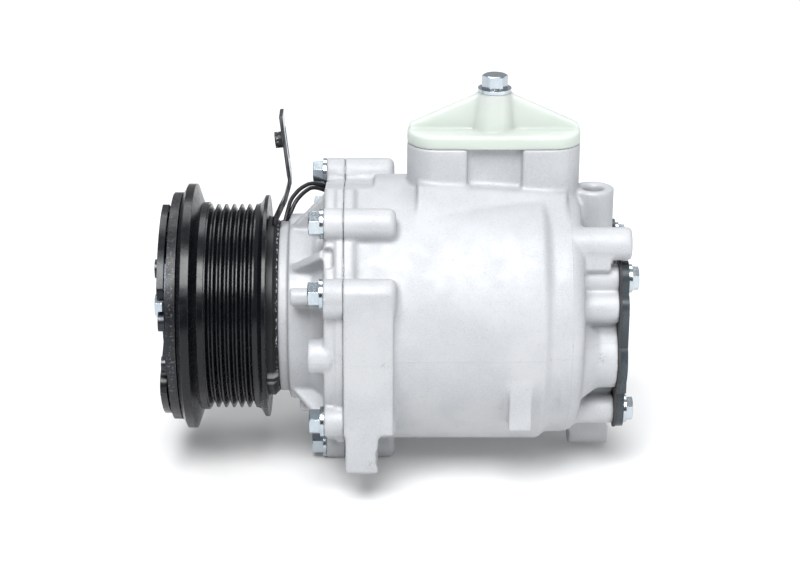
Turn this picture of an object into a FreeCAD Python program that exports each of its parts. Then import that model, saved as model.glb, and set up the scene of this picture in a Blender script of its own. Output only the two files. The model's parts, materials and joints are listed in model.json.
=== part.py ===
"""Belt-driven scroll compressor for a car's air conditioning, with its electromagnetic clutch.

Frame, in millimetres: +X runs along the shaft from the pulley to the rear cover, +Z points up
through the ports, and the origin is where the shaft axis crosses the middle of the belt track.
Angles round the shaft start at -Y and turn towards +Z.
"""
import FreeCAD, Part
import math
import os
import re
import Sketcher

Vector = FreeCAD.Vector
ALONG_X = FreeCAD.Rotation(Vector(0, 1, 0), 90)

doc = FreeCAD.newDocument("compressor")
sheet = doc.addObject("Spreadsheet::Sheet", "dim")

SIZES = {
    # pulley and belt track
    "groove_pitch": 3.56, "groove_crest_r": 46.7, "groove_bottom_r": 43.9,
    "crest_flat": 0.6, "bottom_flat": 0.5,
    "pulley_front_x": -22.4, "lip_r": 56.0, "lip_chamfer_x": -20.4, "lip_rear_x": -16.8,
    "friction_face_r": 52.3, "shoulder_x": -13.8, "shoulder_r": 47.6,
    "rear_shoulder_x": 12.7, "rear_flange_r": 50.8, "rear_flange_x": 16.3,
    "cavity_outer_r": 41.6, "cavity_x": -15.0, "pulley_hub_r": 30.4,
    "face_slot_r": 36.0,
    # pulley bearing
    "pb_x0": -12.0, "pb_width": 20.0, "pb_bore_r": 17.5, "pb_outer_r": 26.0,
    "pb_inner_land": 19.5, "pb_outer_land": 24.0, "pb_ball_r": 3.4, "pb_balls": 14,
    # electromagnetic coil
    "coil_x0": -14.2, "coil_rear_x": 21.2, "coil_outer_r": 40.9, "coil_inner_r": 31.0,
    "coil_wall": 3.0,
    # armature and clutch hub
    "air_gap": 0.5, "armature_t": 4.0, "armature_r": 52.0, "armature_bore_r": 31.0,
    "hub_plate_x": -31.2, "hub_plate_t": 3.0, "hub_lobe_r": 49.3, "hub_centre_r": 24.0,
    "hub_tube_r": 11.0, "hub_tube_x": -16.0, "leaf_t": 0.9, "leaf_gap": 0.15,
    "leaf_width": 10.0, "rivet_r": 2.4, "rivet_head_r": 4.2, "rivet_circle_r": 42.5,
    "lobe_step": 120, "lobe_middle": 59.5, "lobe_half": 35.5, "hub_rivet_angle": 44,
    "stop_rivet_angle": 12, "end_rivet_angle": -16,
    # clutch bolt
    "clutch_bolt_tip_x": -36.5, "clutch_bolt_af": 10.0, "clutch_bolt_flange_r": 7.5,
    # shaft
    "shaft_end_x": -28.0, "shaft_end_r": 5.5, "shaft_r": 8.0, "shaft_step_x": -14.0,
    "journal_r": 12.5, "journal_x": 23.0, "disc_r": 14.0, "disc_x": 36.2, "pin_x": 39.0,
    "pin_r": 5.0, "pin_end_x": 49.8, "orbit_r": 4.7,
    # seal and bearings of the shaft
    "seal_x0": -4.0, "seal_x1": 7.0, "seal_bore_r": 13.0, "needle_cup_x0": 9.5,
    "needle_cup_x1": 21.5, "needle_r": 1.2, "needles": 16,
    "mb_x0": 23.0, "mb_width": 13.0, "mb_outer_r": 26.0, "mb_inner_land": 16.2,
    "mb_outer_land": 22.4, "mb_ball_r": 3.9, "mb_balls": 10,
    # front housing
    "nose_r": 17.5, "nose_front_x": -14.0, "nose_ring_x": 21.3, "nose_ring_r": 38.9,
    "shadow_x0": 24.2, "shadow_x1": 25.8, "drum_r": 42.3, "drum_rear_x": 36.5,
    "cone_r": 47.0, "flange_x": 42.0, "joint_x": 50.6, "flange_r": 62.7,
    "crank_room_r": 33.0,
    "rim_r": 61.3, "rim_step_x": 46.8, "nub_angle": 25.8, "nub_r": 3.7, "bump_r": 7.4,
    "joint_ring_r0": 53.3, "joint_ring_r1": 55.3, "notch_floor_r": 56.2, "notch_x": 63.9,
    # housing bolts, M6
    "bolt_circle_r": 65.0, "boss_r": 6.8, "bolt_head_x": 35.4, "bolt_af": 10.0,
    "bolt_flange_r": 6.6, "bolt_r": 3.0, "bolt_end_x": 68.0, "boss_end_x": 73.6,
    # main housing
    "barrel_r": 60.5, "rim_x": 55.7, "step_x": 138.3, "rear_r": 57.6, "rear_x": 156.0,
    "rear_corner": 7.0, "bore_r": 53.0, "bore_end_x": 104.0, "room_r": 46.0,
    "room_end_x": 147.0,
    # foot
    "foot_face_y": -65.3, "foot_pad_x": 72.3, "foot_x0": 51.4, "foot_x1": 65.8,
    "foot_bottom_z": -54.3, "foot_pad_bottom_z": -36.0, "foot_pad_top_z": 31.0,
    "foot_hole_y": -57.3, "foot_hole_z": -46.3, "foot_hole_r": 4.4,
    # port block, ports and cap
    "port_top_z": 79.0, "port_r": 14.0, "suction_x": 92.7, "discharge_x": 141.9,
    "suction_r": 8.0, "discharge_r": 6.5, "port_seat_z": 61.0, "port_room_z": 56.5,
    "suction_way_r": 6.2, "discharge_way_r": 4.8, "plinth_z": 63.6,
    "web_half": 9.5, "web_x0": 105.2, "web_x1": 129.4, "cap_screw_x": 117.3, "cap_screw_r": 3.4,
    "cap_top_z": 85.0, "cap_post_r": 9.35, "cap_post_top_r": 7.6,
    "cap_post_top_z": 102.0, "cap_web_half": 2.4, "cap_bolt_top_z": 109.6,
    # rear end
    "neck_r": 43.0, "neck_z": -7.5, "neck_x": 172.0, "neck_room_r": 25.0,
    "top_boss_x": 162.5, "top_boss_r": 9.3, "top_boss_z": 57.3, "top_thread_r": 4.6,
    "side_boss_y": -29.5, "side_boss_z": 40.9, "side_boss_r": 7.3, "side_boss_x": 177.0,
    "side_thread_r": 3.4, "lug_z": -57.2, "lug_r": 11.2, "lug_x0": 154.7, "lug_x1": 172.6,
    "lug_thread_r": 3.4, "lug_thread_x": 153.8, "gasket_t": 1.0, "cover_x": 176.3, "cover_bolt_y": 28.0,
    "cover_bolt_top_z": 24.0, "cover_bolt_low_z": -39.0, "cover_lug_r": 8.0,
    "cover_bolt_end_x": 181.0,
    # scroll set
    "base_circle_r": 2.8, "wrap_t": 4.0, "wrap_x0": 59.1, "wrap_x1": 91.0,
    "orbit_plate_x": 51.9, "orbit_plate_r": 47.3, "scroll_wall_r": 48.4,
    "scroll_base_x": 103.8, "reed_hinge_z": 19.0, "boss_bore_r": 12.5, "scroll_boss_r": 17.0,
    "scroll_boss_x": 41.5, "guide_circle_r": 38.0, "guide_pin_r": 2.5,
    "guide_ring_r": 8.8, "guide_step": 90,
}

for row, (alias, number) in enumerate(SIZES.items(), start=1):
    sheet.set(f"A{row}", alias)
    sheet.set(f"B{row}", str(number))
    sheet.setAlias(f"B{row}", alias)
doc.recompute()

WORDS = re.compile(r"[A-Za-z_][A-Za-z_0-9]*")


def linked(text):
    """An expression with every size name pointed at the sheet."""
    return WORDS.sub(lambda m: "dim." + m.group(0) if m.group(0) in SIZES else m.group(0), str(text))


def value(text):
    """The number that an expression has now."""
    if isinstance(text, (int, float)):
        return float(text)
    return float(sheet.evalExpression(linked(text)))


def bind(obj, prop, text):
    """Set a property, and tie it to the sheet when the text names a size."""
    if isinstance(text, (int, float)):
        text = repr(text)
    obj.setExpression(prop, linked(text))


# ---------------------------------------------------------------- building blocks

def plane_of(body, role):
    return [f for f in body.Origin.OriginFeatures if f.Role == role][0]


def outline(body, name, role, points):
    """A closed, fully placed polygon on one of the body's origin planes."""
    sketch = body.newObject("Sketcher::SketchObject", name)
    sketch.AttachmentSupport = (plane_of(body, role), [""])
    sketch.MapMode = "FlatFace"
    spots = [(value(a), value(b)) for a, b in points]
    count = len(points)
    for i in range(count):
        a, b = spots[i], spots[(i + 1) % count]
        sketch.addGeometry(Part.LineSegment(Vector(a[0], a[1], 0), Vector(b[0], b[1], 0)), False)
    for i in range(count):
        sketch.addConstraint(Sketcher.Constraint("Coincident", i, 2, (i + 1) % count, 1))
    for i, (first, second) in enumerate(points):
        for kind, text, spot in (("DistanceX", first, spots[i][0]), ("DistanceY", second, spots[i][1])):
            number = sketch.addConstraint(Sketcher.Constraint(kind, -1, 1, i, 1, spot))
            if isinstance(text, str):
                bind(sketch, f"Constraints[{number}]", text)
    return sketch


def turned(label, points):
    """A body turned about the shaft axis from points (x, radius)."""
    body = doc.addObject("PartDesign::Body", label)
    sketch = outline(body, label + "_outline", "XY_Plane", points)
    turn = body.newObject("PartDesign::Revolution", label + "_turn")
    turn.Profile = sketch
    turn.ReferenceAxis = (sketch, ["H_Axis"])
    turn.Angle = 360
    body.Tip = turn
    return body


def ring(label, x0, x1, inner, outer):
    """A plain ring about the shaft axis."""
    return turned(label, [(x0, inner), (x1, inner), (x1, outer), (x0, outer)])


def sector(label, x0, x1, inner, outer, low, high):
    """Part of a ring, between two angles round the shaft."""
    body = ring(label, x0, x1, inner, outer)
    body.Tip.Angle = high - low
    body.Placement = FreeCAD.Placement(Vector(0, 0, 0), FreeCAD.Rotation(Vector(1, 0, 0), 180 - high))
    return body


def plate_y(label, points, width):
    """A body padded both ways in Y from points (x, z)."""
    body = doc.addObject("PartDesign::Body", label)
    sketch = outline(body, label + "_outline", "XZ_Plane", points)
    pad = body.newObject("PartDesign::Pad", label + "_pad")
    pad.Profile = sketch
    pad.Midplane = True
    bind(pad, "Length", width)
    body.Tip = pad
    return body


def plate_x(label, points, x0, x1):
    """A body padded along X from points (y, z)."""
    body = doc.addObject("PartDesign::Body", label)
    sketch = outline(body, label + "_outline", "YZ_Plane", points)
    pad = body.newObject("PartDesign::Pad", label + "_pad")
    pad.Profile = sketch
    bind(pad, "Length", f"({x1}) - ({x0})")
    body.Tip = pad
    bind(body, "Placement.Base.x", x0)
    return body


def soften(body, radius, spots):
    """Round the turned edges that lie at the given (x, radius) spots."""
    doc.recompute()
    base = body.Tip
    names = []
    for number, edge in enumerate(base.Shape.Edges, start=1):
        if not isinstance(edge.Curve, Part.Circle):
            continue
        for x, r in spots:
            if abs(edge.Curve.Center.x - value(x)) < 0.01 and abs(edge.Curve.Radius - value(r)) < 0.01:
                names.append(f"Edge{number}")
    fillet = body.newObject("PartDesign::Fillet", body.Name + "_soft")
    fillet.Base = (base, names)
    bind(fillet, "Radius", radius)
    body.Tip = fillet
    return body


def place(obj, x, y, z, turn=None):
    if turn is not None:
        obj.Placement = FreeCAD.Placement(Vector(0, 0, 0), turn)
    for axis, text in (("x", x), ("y", y), ("z", z)):
        bind(obj, f"Placement.Base.{axis}", text)
    return obj


def rod_x(name, radius, x0, x1, y=0, z=0):
    """A cylinder along X."""
    rod = doc.addObject("Part::Cylinder", name)
    bind(rod, "Radius", radius)
    bind(rod, "Height", f"({x1}) - ({x0})")
    return place(rod, x0, y, z, ALONG_X)


def rod_z(name, radius, z0, z1, x, y=0):
    """A cylinder along Z."""
    rod = doc.addObject("Part::Cylinder", name)
    bind(rod, "Radius", radius)
    bind(rod, "Height", f"({z1}) - ({z0})")
    return place(rod, x, y, z0)


def cone_z(name, low_r, high_r, z0, z1, x, y=0):
    """A cone along Z."""
    cone = doc.addObject("Part::Cone", name)
    bind(cone, "Radius1", low_r)
    bind(cone, "Radius2", high_r)
    bind(cone, "Height", f"({z1}) - ({z0})")
    return place(cone, x, y, z0)


def block(name, x0, x1, y0, y1, z0, z1, swing=0):
    """A box, swung round the shaft by an angle."""
    box = doc.addObject("Part::Box", name)
    for prop, low, high in (("Length", x0, x1), ("Width", y0, y1), ("Height", z0, z1)):
        bind(box, prop, f"({high}) - ({low})")
    y = f"({y0}) * cos({swing}) - ({z0}) * sin({swing})"
    z = f"({y0}) * sin({swing}) + ({z0}) * cos({swing})"
    return place(box, x0, y, z, FreeCAD.Rotation(Vector(1, 0, 0), swing))


def hexagon_x(name, across_flats, x0, x1, y=0, z=0):
    prism = doc.addObject("Part::Prism", name)
    prism.Polygon = 6
    bind(prism, "Circumradius", f"({across_flats}) / 2 / cos(30)")
    bind(prism, "Height", f"({x1}) - ({x0})")
    return place(prism, x0, y, z, ALONG_X)


def bolt_head(name, across_flats, tip_x, seat_x, y=0, z=0):
    """A hexagon along X with its outer corners chamfered at the tip."""
    low, high = (tip_x, seat_x) if value(tip_x) < value(seat_x) else (seat_x, tip_x)
    prism = hexagon_x(name + "_prism", across_flats, low, high, y, z)
    cone = doc.addObject("Part::Cone", name + "_cone")
    wide, narrow = f"({across_flats}) / 2 + 2.2 * (({high}) - ({low}))", f"({across_flats}) / 2 - 0.3"
    bind(cone, "Radius1", narrow if low == tip_x else wide)
    bind(cone, "Radius2", wide if low == tip_x else narrow)
    bind(cone, "Height", f"({high}) - ({low})")
    place(cone, low, y, z, ALONG_X)
    head = doc.addObject("Part::Common", name)
    head.Base = prism
    head.Tool = cone
    return head


def round_end(name, radius, blend, x0, x1, y, z):
    """A cast boss along X whose free end is rounded."""
    rod = rod_x(name + "_rod", radius, x0, x1, y, z)
    doc.recompute()
    far = max(range(len(rod.Shape.Edges)), key=lambda i: rod.Shape.Edges[i].CenterOfMass.x)
    fillet = doc.addObject("Part::Fillet", name)
    fillet.Base = rod
    fillet.Edges = [(far + 1, blend, blend)]
    return fillet


def joined(label, items):
    fusion = doc.addObject("Part::MultiFuse", label)
    fusion.Shapes = items
    fusion.Refine = True
    return fusion


def grouped(label, items):
    """Separate solids that share one node."""
    group = doc.addObject("Part::Compound", label)
    group.Links = items
    return group


def less(label, base, tools):
    cut = doc.addObject("Part::Cut", label)
    cut.Base = base
    cut.Tool = tools[0] if len(tools) == 1 else joined(label + "_tools", tools)
    return cut


def shaped(label, shape):
    """A piece whose shape comes from a formula."""
    feature = doc.addObject("Part::Feature", label)
    feature.Shape = shape
    return feature


def polar(radius, angle):
    """Expressions for Y and Z at a radius and an angle round the shaft."""
    return f"-({radius}) * cos({angle})", f"({radius}) * sin({angle})"


# ---------------------------------------------------------------- housings

BOLT_ANGLES = [-80, -30, 25.8, 54.6, 128, 155, 200, 240]
COVER_BOLTS = [("-cover_bolt_y", "cover_bolt_top_z"), ("cover_bolt_y", "cover_bolt_top_z"),
               ("-cover_bolt_y", "cover_bolt_low_z"), ("cover_bolt_y", "cover_bolt_low_z")]
GUSSET_ANGLES = [44.4, 78, 220, 262, 318]
PLINTH_SLOPE = 3.5
POCKET_ANGLES = [(48, 64), (224, 233), (266, 276), (291, 314)]
NECK_LOBES = [(29, -12.3, 14.5), (33.5, 12.6, 7.2)]
DOWEL_ANGLES = [0, 180]
DOWEL_CIRCLE = "flange_r - 3.1"


def top_notch(name, end_x):
    """A flat cut that bares the bolt boss beyond the top of the rim."""
    return block(name, "flange_x - 2", end_x, -30, 20, "notch_floor_r", 90, -13.3)


def make_front_housing():
    core = turned("front_core", [
        ("nose_front_x", "seal_bore_r"), ("nose_front_x", "nose_r - 1"),
        ("nose_front_x + 1", "nose_r - 0.02"), ("nose_ring_x - 5", "nose_r - 0.02"),
        ("nose_ring_x - 5", "coil_inner_r - 5"), ("nose_ring_x", "coil_inner_r - 1"),
        ("nose_ring_x", "nose_ring_r - 0.2"), ("nose_ring_x + 0.2", "nose_ring_r"),
        ("shadow_x0", "nose_ring_r"), ("shadow_x1 - 0.3", "nose_ring_r - 1.5"),
        ("shadow_x1", "nose_ring_r - 1.5"), ("shadow_x1", "drum_r - 0.5"),
        ("shadow_x1 + 0.5", "drum_r"), ("drum_rear_x", "drum_r"), ("flange_x", "cone_r"),
        ("flange_x", "rim_r - 1"), ("flange_x + 1", "rim_r"), ("rim_step_x", "rim_r"),
        ("rim_step_x + 0.6", "flange_r"), ("joint_x", "flange_r"), ("joint_x", "crank_room_r"),
        ("mb_x0 + mb_width + 0.2", "crank_room_r"),
        ("mb_x0 + mb_width + 0.2", "mb_outer_r + 0.02"), ("mb_x0 - 0.3", "mb_outer_r + 0.02"),
        ("mb_x0 - 0.3", "seal_bore_r"),
    ])
    solids = [core]
    for i, angle in enumerate(BOLT_ANGLES):
        y, z = polar("bolt_circle_r", angle)
        solids.append(rod_x(f"front_boss_{i}", "boss_r", "flange_x", "joint_x", y, z))
    # ribs run from the drum out to the flange
    for i, angle in enumerate(GUSSET_ANGLES):
        rib = plate_y(f"rib_{i}", [("shadow_x1 + 1", "drum_r - 3"), ("flange_x + 1", "drum_r - 3"),
                                   ("flange_x + 1", "rim_r - 1.5"), ("flange_x - 0.5", "rim_r - 2.5"),
                                   ("shadow_x1 + 1.6", "drum_r + 0.5")], 4)
        rib.Placement = FreeCAD.Placement(Vector(0, 0, 0), FreeCAD.Rotation(Vector(1, 0, 0), 90 - angle))
        solids.append(rib)
    # locating nub ahead of one bolt, a cast bump below it and a lump under the drum
    y, z = polar(54, "nub_angle")
    solids.append(rod_x("locating_nub", "nub_r", "shadow_x1 + 1.5", "flange_x + 1", y, z))
    solids.append(block("locating_root", "shadow_x1 + 2.5", "flange_x + 1", -3.4, 3.4, 39, 54,
                        90 - SIZES["nub_angle"]))
    y, z = polar(55.5, -1.5)
    solids.append(round_end("cast_bump", "bump_r", 3.0, "drum_rear_x - 1.3", "joint_x - 4.2", y, z))
    solids.append(block("low_lump", "shadow_x1 + 4.6", "flange_x + 1", -6.5, 6.5, 36, 48.4, 90 + 62))
    y, z = polar(63, 22.8)
    solids.append(rod_x("wide_boss", "boss_r", "flange_x", "joint_x", y, z))
    holes = []
    for i, angle in enumerate(BOLT_ANGLES):
        y, z = polar("bolt_circle_r", angle)
        holes.append(rod_x(f"front_hole_{i}", "bolt_r + 0.3", "flange_x - 8", "joint_x + 1", y, z))
    for i, angle in enumerate(DOWEL_ANGLES):
        y, z = polar(DOWEL_CIRCLE, angle)
        holes.append(rod_x(f"front_dowel_hole_{i}", 1.92, "joint_x - 5", "joint_x + 1", y, z))
    for i in range(4):
        y, z = polar("guide_circle_r", f"45 + {i} * guide_step")
        holes.append(rod_x(f"guide_hole_{i}", "guide_pin_r + 0.01", "joint_x - 9", "joint_x + 1", y, z))
    for i, (low, high) in enumerate(POCKET_ANGLES):
        holes.append(sector(f"pocket_{i}", "drum_rear_x - 1", "flange_x + 2.4", "cone_r - 3.5",
                            "bolt_circle_r - boss_r - 0.6", low, high))
    holes.append(sector("rim_pocket", "flange_x - 1", "rim_step_x - 0.6", 57, "flange_r + 5", 37, 46))
    # notch and groove that let the coil's wires out to the far side
    holes.append(block("wire_notch", "nose_ring_x - 1", "shadow_x1 + 1.6", -4.2, 4.2, 35, 50, -24))
    holes.append(sector("wire_groove", "flange_x - 1", "flange_x + 4.4", 52.4, 58.6, 118, 157))
    holes.append(top_notch("front_notch", "joint_x + 1"))
    # circlip grooves of the bearing, the coil and the seal
    holes.append(ring("nose_groove", "pb_x0 - 1.4", "pb_x0 - 0.02", "nose_r - 1.2", "nose_r + 2"))
    holes.append(ring("seal_groove", "seal_x0 - 1.3", "seal_x0 - 0.02",
                      "seal_bore_r - 1", "seal_bore_r + 1.2"))
    # the joint's O-ring groove
    holes.append(ring("joint_groove", "joint_x - 1.5", "joint_x + 1", "joint_ring_r0",
                      "joint_ring_r1"))
    return less("front_housing", joined("front_casting", solids), holes)


def make_main_housing():
    barrel = turned("barrel", [
        ("joint_x", "bore_r"), ("joint_x", "flange_r"), ("rim_x - 1", "flange_r"),
        ("rim_x", "flange_r - 1"), ("rim_x", "barrel_r"), ("step_x", "barrel_r"),
        ("step_x + 3.2", "rear_r"), ("rear_x", "rear_r"), ("rear_x", 0), ("room_end_x", 0),
        ("room_end_x", "room_r - 4"), ("room_end_x - 4", "room_r"), ("bore_end_x", "room_r"),
        ("bore_end_x", "bore_r"),
    ])
    soften(barrel, "rear_corner", [("rear_x", "rear_r")])
    solids = [barrel]
    for i, angle in enumerate(BOLT_ANGLES):
        y, z = polar("bolt_circle_r", angle)
        solids.append(round_end(f"boss_{i}", "boss_r", 3.0, "joint_x", "boss_end_x", y, z))
        y, z = polar("bolt_circle_r - 3.2", angle)
        solids.append(round_end(f"boss_root_{i}", "boss_r - 0.8", 3.0, "joint_x", "boss_end_x", y, z))
    y, z = polar(63, 22.8)
    solids.append(round_end("wide_boss_rear", "boss_r", 3.0, "joint_x", "boss_end_x", y, z))
    # flat pad on the near side, with the foot below it
    solids.append(block("pad", "joint_x", "foot_pad_x", "foot_face_y", -30,
                        "foot_pad_bottom_z", "foot_pad_top_z"))
    solids.append(block("foot", "foot_x0", "foot_x1", "foot_face_y", "foot_hole_y + 8.5",
                        "foot_bottom_z", "foot_pad_bottom_z + 2"))
    solids.append(block("foot_inner", "foot_x0", "foot_x1", "foot_hole_y", -40,
                        "foot_hole_z - 2", "foot_pad_bottom_z + 2"))
    solids.append(block("foot_root", "foot_x0", "foot_x1", -50, -30, -50, -30))
    # rib on the near side of the barrel
    solids.append(block("side_rib", 122.9, 133.2, -59.5, -36, -36.5, -12))
    # port block
    for name, x in (("suction", "suction_x"), ("discharge", "discharge_x")):
        solids.append(rod_z(name + "_boss", "port_r", 20, "port_top_z", x))
    solids.append(block("port_web", "suction_x", "discharge_x", "-web_half", "web_half", 30, "port_top_z"))
    plinth = plate_x("port_plinth", [(-35.3, 49.1), (35.3, 49.1), (15.8, "plinth_z"), (-15.8, "plinth_z")],
                     "suction_x - 13.5", "discharge_x + 4")
    plinth.Placement.Rotation = FreeCAD.Rotation(Vector(0, 1, 0), PLINTH_SLOPE)
    solids.append(plinth)
    for name, low, high in (("front", "suction_x", "web_x0"), ("rear", "web_x1", "discharge_x")):
        solids.append(block(f"port_{name}_cheek", low, high, "-port_r", "port_r", 30, "port_top_z"))
    # rear end: neck, its bolt bosses and the mounting bosses
    solids.append(rod_x("neck", "neck_r - 8", "rear_x - 9", "neck_x", 0, "neck_z"))
    for i, (y, z) in enumerate(COVER_BOLTS):
        solids.append(rod_x(f"neck_boss_{i}", "cover_lug_r - 1.4", "rear_x - 6", "neck_x", y, z))
    for side in (-1, 1):
        for i, (y, z, radius) in enumerate(NECK_LOBES):
            solids.append(rod_x(f"neck_lobe_{side}_{i}", radius, "rear_x - 6", "neck_x", side * y, z))
        y, z, radius = NECK_LOBES[0]
        flare = doc.addObject("Part::Cone", f"neck_flare_{side}")
        bind(flare, "Radius1", radius + 13)
        bind(flare, "Radius2", radius)
        bind(flare, "Height", 18)
        solids.append(place(flare, "rear_x - 10", side * y, z, ALONG_X))
    solids.append(rod_z("top_boss", "top_boss_r", 10, "top_boss_z", "top_boss_x"))
    solids.append(block("top_boss_root", 150, "top_boss_x", "-top_boss_r + 1", "top_boss_r - 1", 20, 47))
    solids.append(round_end("side_boss", "side_boss_r", 1.2, 149, "side_boss_x", "side_boss_y",
                            "side_boss_z"))
    solids.append(block("side_boss_root", 149, 168, -36, -23, 30, 41))
    solids.append(rod_x("lug", "lug_r", "lug_x0", "lug_x1", 0, "lug_z"))
    solids.append(block("lug_root", "lug_x0 - 6", "neck_x", "-lug_r", "lug_r", "lug_z", -30))
    tools = []
    tools.append(ring("bore_clear", "joint_x - 1", "bore_end_x", 1, "bore_r"))
    tools.append(rod_x("bore_axis", 1.5, "joint_x - 1", "bore_end_x"))
    tools.append(ring("room_clear", "bore_end_x - 1", "room_end_x - 4", 1, "room_r"))
    tools.append(rod_x("room_axis", 1.5, "bore_end_x - 1", "room_end_x - 0.5"))
    tools.append(rod_x("neck_room", "neck_room_r", "rear_x - 5", "neck_x + 1", 0, "neck_z"))
    tools.append(rod_x("oil_passage", 5, "room_end_x - 2", "rear_x", 0, "neck_z"))
    for i, angle in enumerate(BOLT_ANGLES):
        y, z = polar("bolt_circle_r", angle)
        tools.append(rod_x(f"main_hole_{i}", "bolt_r", "joint_x - 1", "bolt_end_x + 1.5", y, z))
    for i, angle in enumerate(DOWEL_ANGLES):
        y, z = polar(DOWEL_CIRCLE, angle)
        tools.append(rod_x(f"main_dowel_hole_{i}", 1.92, "joint_x - 1", "joint_x + 5", y, z))
    for i, (y, z) in enumerate(COVER_BOLTS):
        tools.append(rod_x(f"cover_hole_{i}", "bolt_r", "neck_x - 13", "neck_x + 1", y, z))
    tools.append(top_notch("main_notch", "notch_x"))
    tools.append(rod_x("foot_hole", "foot_hole_r", 45, 80, "foot_hole_y", "foot_hole_z"))
    tools.append(rod_x("foot_spotface", 8.3, "foot_x1 - 1", 90, "foot_hole_y", "foot_hole_z"))
    tools.append(rod_x("lug_thread", "lug_thread_r", "lug_thread_x", 180, 0, "lug_z"))
    ports = (("suction", "suction_r", "suction_x"), ("discharge", "discharge_r", "discharge_x"))
    for name, radius, x in ports:
        tools.append(rod_z(f"{name}_port", radius, "port_seat_z", "port_top_z + 1", x))
        tools.append(rod_z(f"{name}_room", f"{radius} + 0.6", "port_room_z", "port_seat_z", x))
        tools.append(rod_z(f"{name}_way", f"{name}_way_r", 40, "port_room_z + 1", x))
    tools.append(rod_z("cap_screw_hole", "cap_screw_r", 58, "port_top_z + 1", "cap_screw_x"))
    tools.append(rod_z("top_thread", "top_thread_r", 34, "top_boss_z + 1", "top_boss_x"))
    tools.append(cone_z("top_chamfer", "top_thread_r", "top_thread_r + 1.1", "top_boss_z - 1.1",
                          "top_boss_z", "top_boss_x"))
    tools.append(rod_x("side_thread", "side_thread_r", 158, 180, "side_boss_y", "side_boss_z"))
    return less("main_housing", joined("main_casting", solids), tools)


def make_rear_cover(label, x0, x1, grow):
    """The gasket's or the cover's outline: a round plate with four lugs and side bulges."""
    solids = [rod_x(label + "_disc", f"neck_r - 8 + {grow}", x0, x1, 0, "neck_z")]
    for i, (y, z) in enumerate(COVER_BOLTS):
        solids.append(rod_x(f"{label}_lug_{i}", f"cover_lug_r + {grow}", x0, x1, y, z))
    for side in (-1, 1):
        for i, (y, z, radius) in enumerate(NECK_LOBES):
            solids.append(rod_x(f"{label}_lobe_{side}_{i}", f"{radius} + {grow}", x0, x1, side * y, z))
    # the sides run straight between the lobes and the lugs
    solids.append(block(label + "_waist", x0, x1, f"-41 - {grow}", f"41 + {grow}", -26, 12.6))
    solids.append(block(label + "_foot", x0, x1, f"-cover_bolt_y - cover_lug_r - {grow}",
                        f"cover_bolt_y + cover_lug_r + {grow}", "cover_bolt_low_z", -12))
    solids.append(block(label + "_head", x0, x1, f"-cover_bolt_y - cover_lug_r - {grow}",
                        f"cover_bolt_y + cover_lug_r + {grow}", 6, "cover_bolt_top_z"))
    return solids


def make_covers():
    gasket_end = "neck_x + gasket_t"
    holes = [rod_x(f"gasket_hole_{i}", "bolt_r + 0.3", "neck_x - 1", "cover_x + 1", y, z)
             for i, (y, z) in enumerate(COVER_BOLTS)]
    holes.append(rod_x("gasket_room", "neck_room_r", "neck_x - 1", "cover_x + 1", 0, "neck_z"))
    less("rear_gasket", joined("gasket_blank", make_rear_cover("gasket", "neck_x", gasket_end, 0.4)), holes)
    solids = make_rear_cover("cover", gasket_end, "cover_x", 0)
    holes = [rod_x(f"cover_bolt_hole_{i}", "bolt_r + 0.3", "neck_x - 1", "cover_x + 3", y, z)
             for i, (y, z) in enumerate(COVER_BOLTS)]
    less("rear_cover", joined("cover_blank", solids), holes)


def flange_bolt(name, af, flange_r, head_x, seat_x, end_x, y, z, sign=1):
    """A hex flange bolt along X. The shank runs from the seat to end_x."""
    head = bolt_head(name + "_head", af, head_x, f"{seat_x} - {sign} * 1.6", y, z)
    flange_low, flange_high = (f"{seat_x} - 1.7", seat_x) if sign > 0 else (seat_x, f"{seat_x} + 1.7")
    flange = rod_x(name + "_flange", flange_r, flange_low, flange_high, y, z)
    shank_low, shank_high = (f"{seat_x} - 1", end_x) if sign > 0 else (end_x, f"{seat_x} + 1")
    shank = rod_x(name + "_shank", "bolt_r - 0.02", shank_low, shank_high, y, z)
    return joined(name, [head, flange, shank])


def make_bolts():
    bolts = []
    for i, angle in enumerate(BOLT_ANGLES):
        y, z = polar("bolt_circle_r", angle)
        bolts.append(flange_bolt(f"housing_bolt_{i}", "bolt_af", "bolt_flange_r", "bolt_head_x",
                                 "flange_x", "bolt_end_x", y, z))
    grouped("housing_bolts", bolts)
    bolts = []
    for i, (y, z) in enumerate(COVER_BOLTS):
        bolts.append(flange_bolt(f"rear_bolt_{i}", "bolt_af", "bolt_flange_r - 0.3", "cover_bolt_end_x",
                                 "cover_x", "neck_x - 11", y, z, sign=-1))
    grouped("rear_cover_bolts", bolts)
    pins = []
    for i, angle in enumerate(DOWEL_ANGLES):
        y, z = polar(DOWEL_CIRCLE, angle)
        pins.append(rod_x(f"dowel_{i}", 1.9, "joint_x - 4.8", "joint_x + 4.8", y, z))
    grouped("dowel_pins", pins)
    ring("housing_o_ring", "joint_x - 1.45", "joint_x - 0.02", "joint_ring_r0 + 0.1", "joint_ring_r1 - 0.1")


# ---------------------------------------------------------------- clutch

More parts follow.
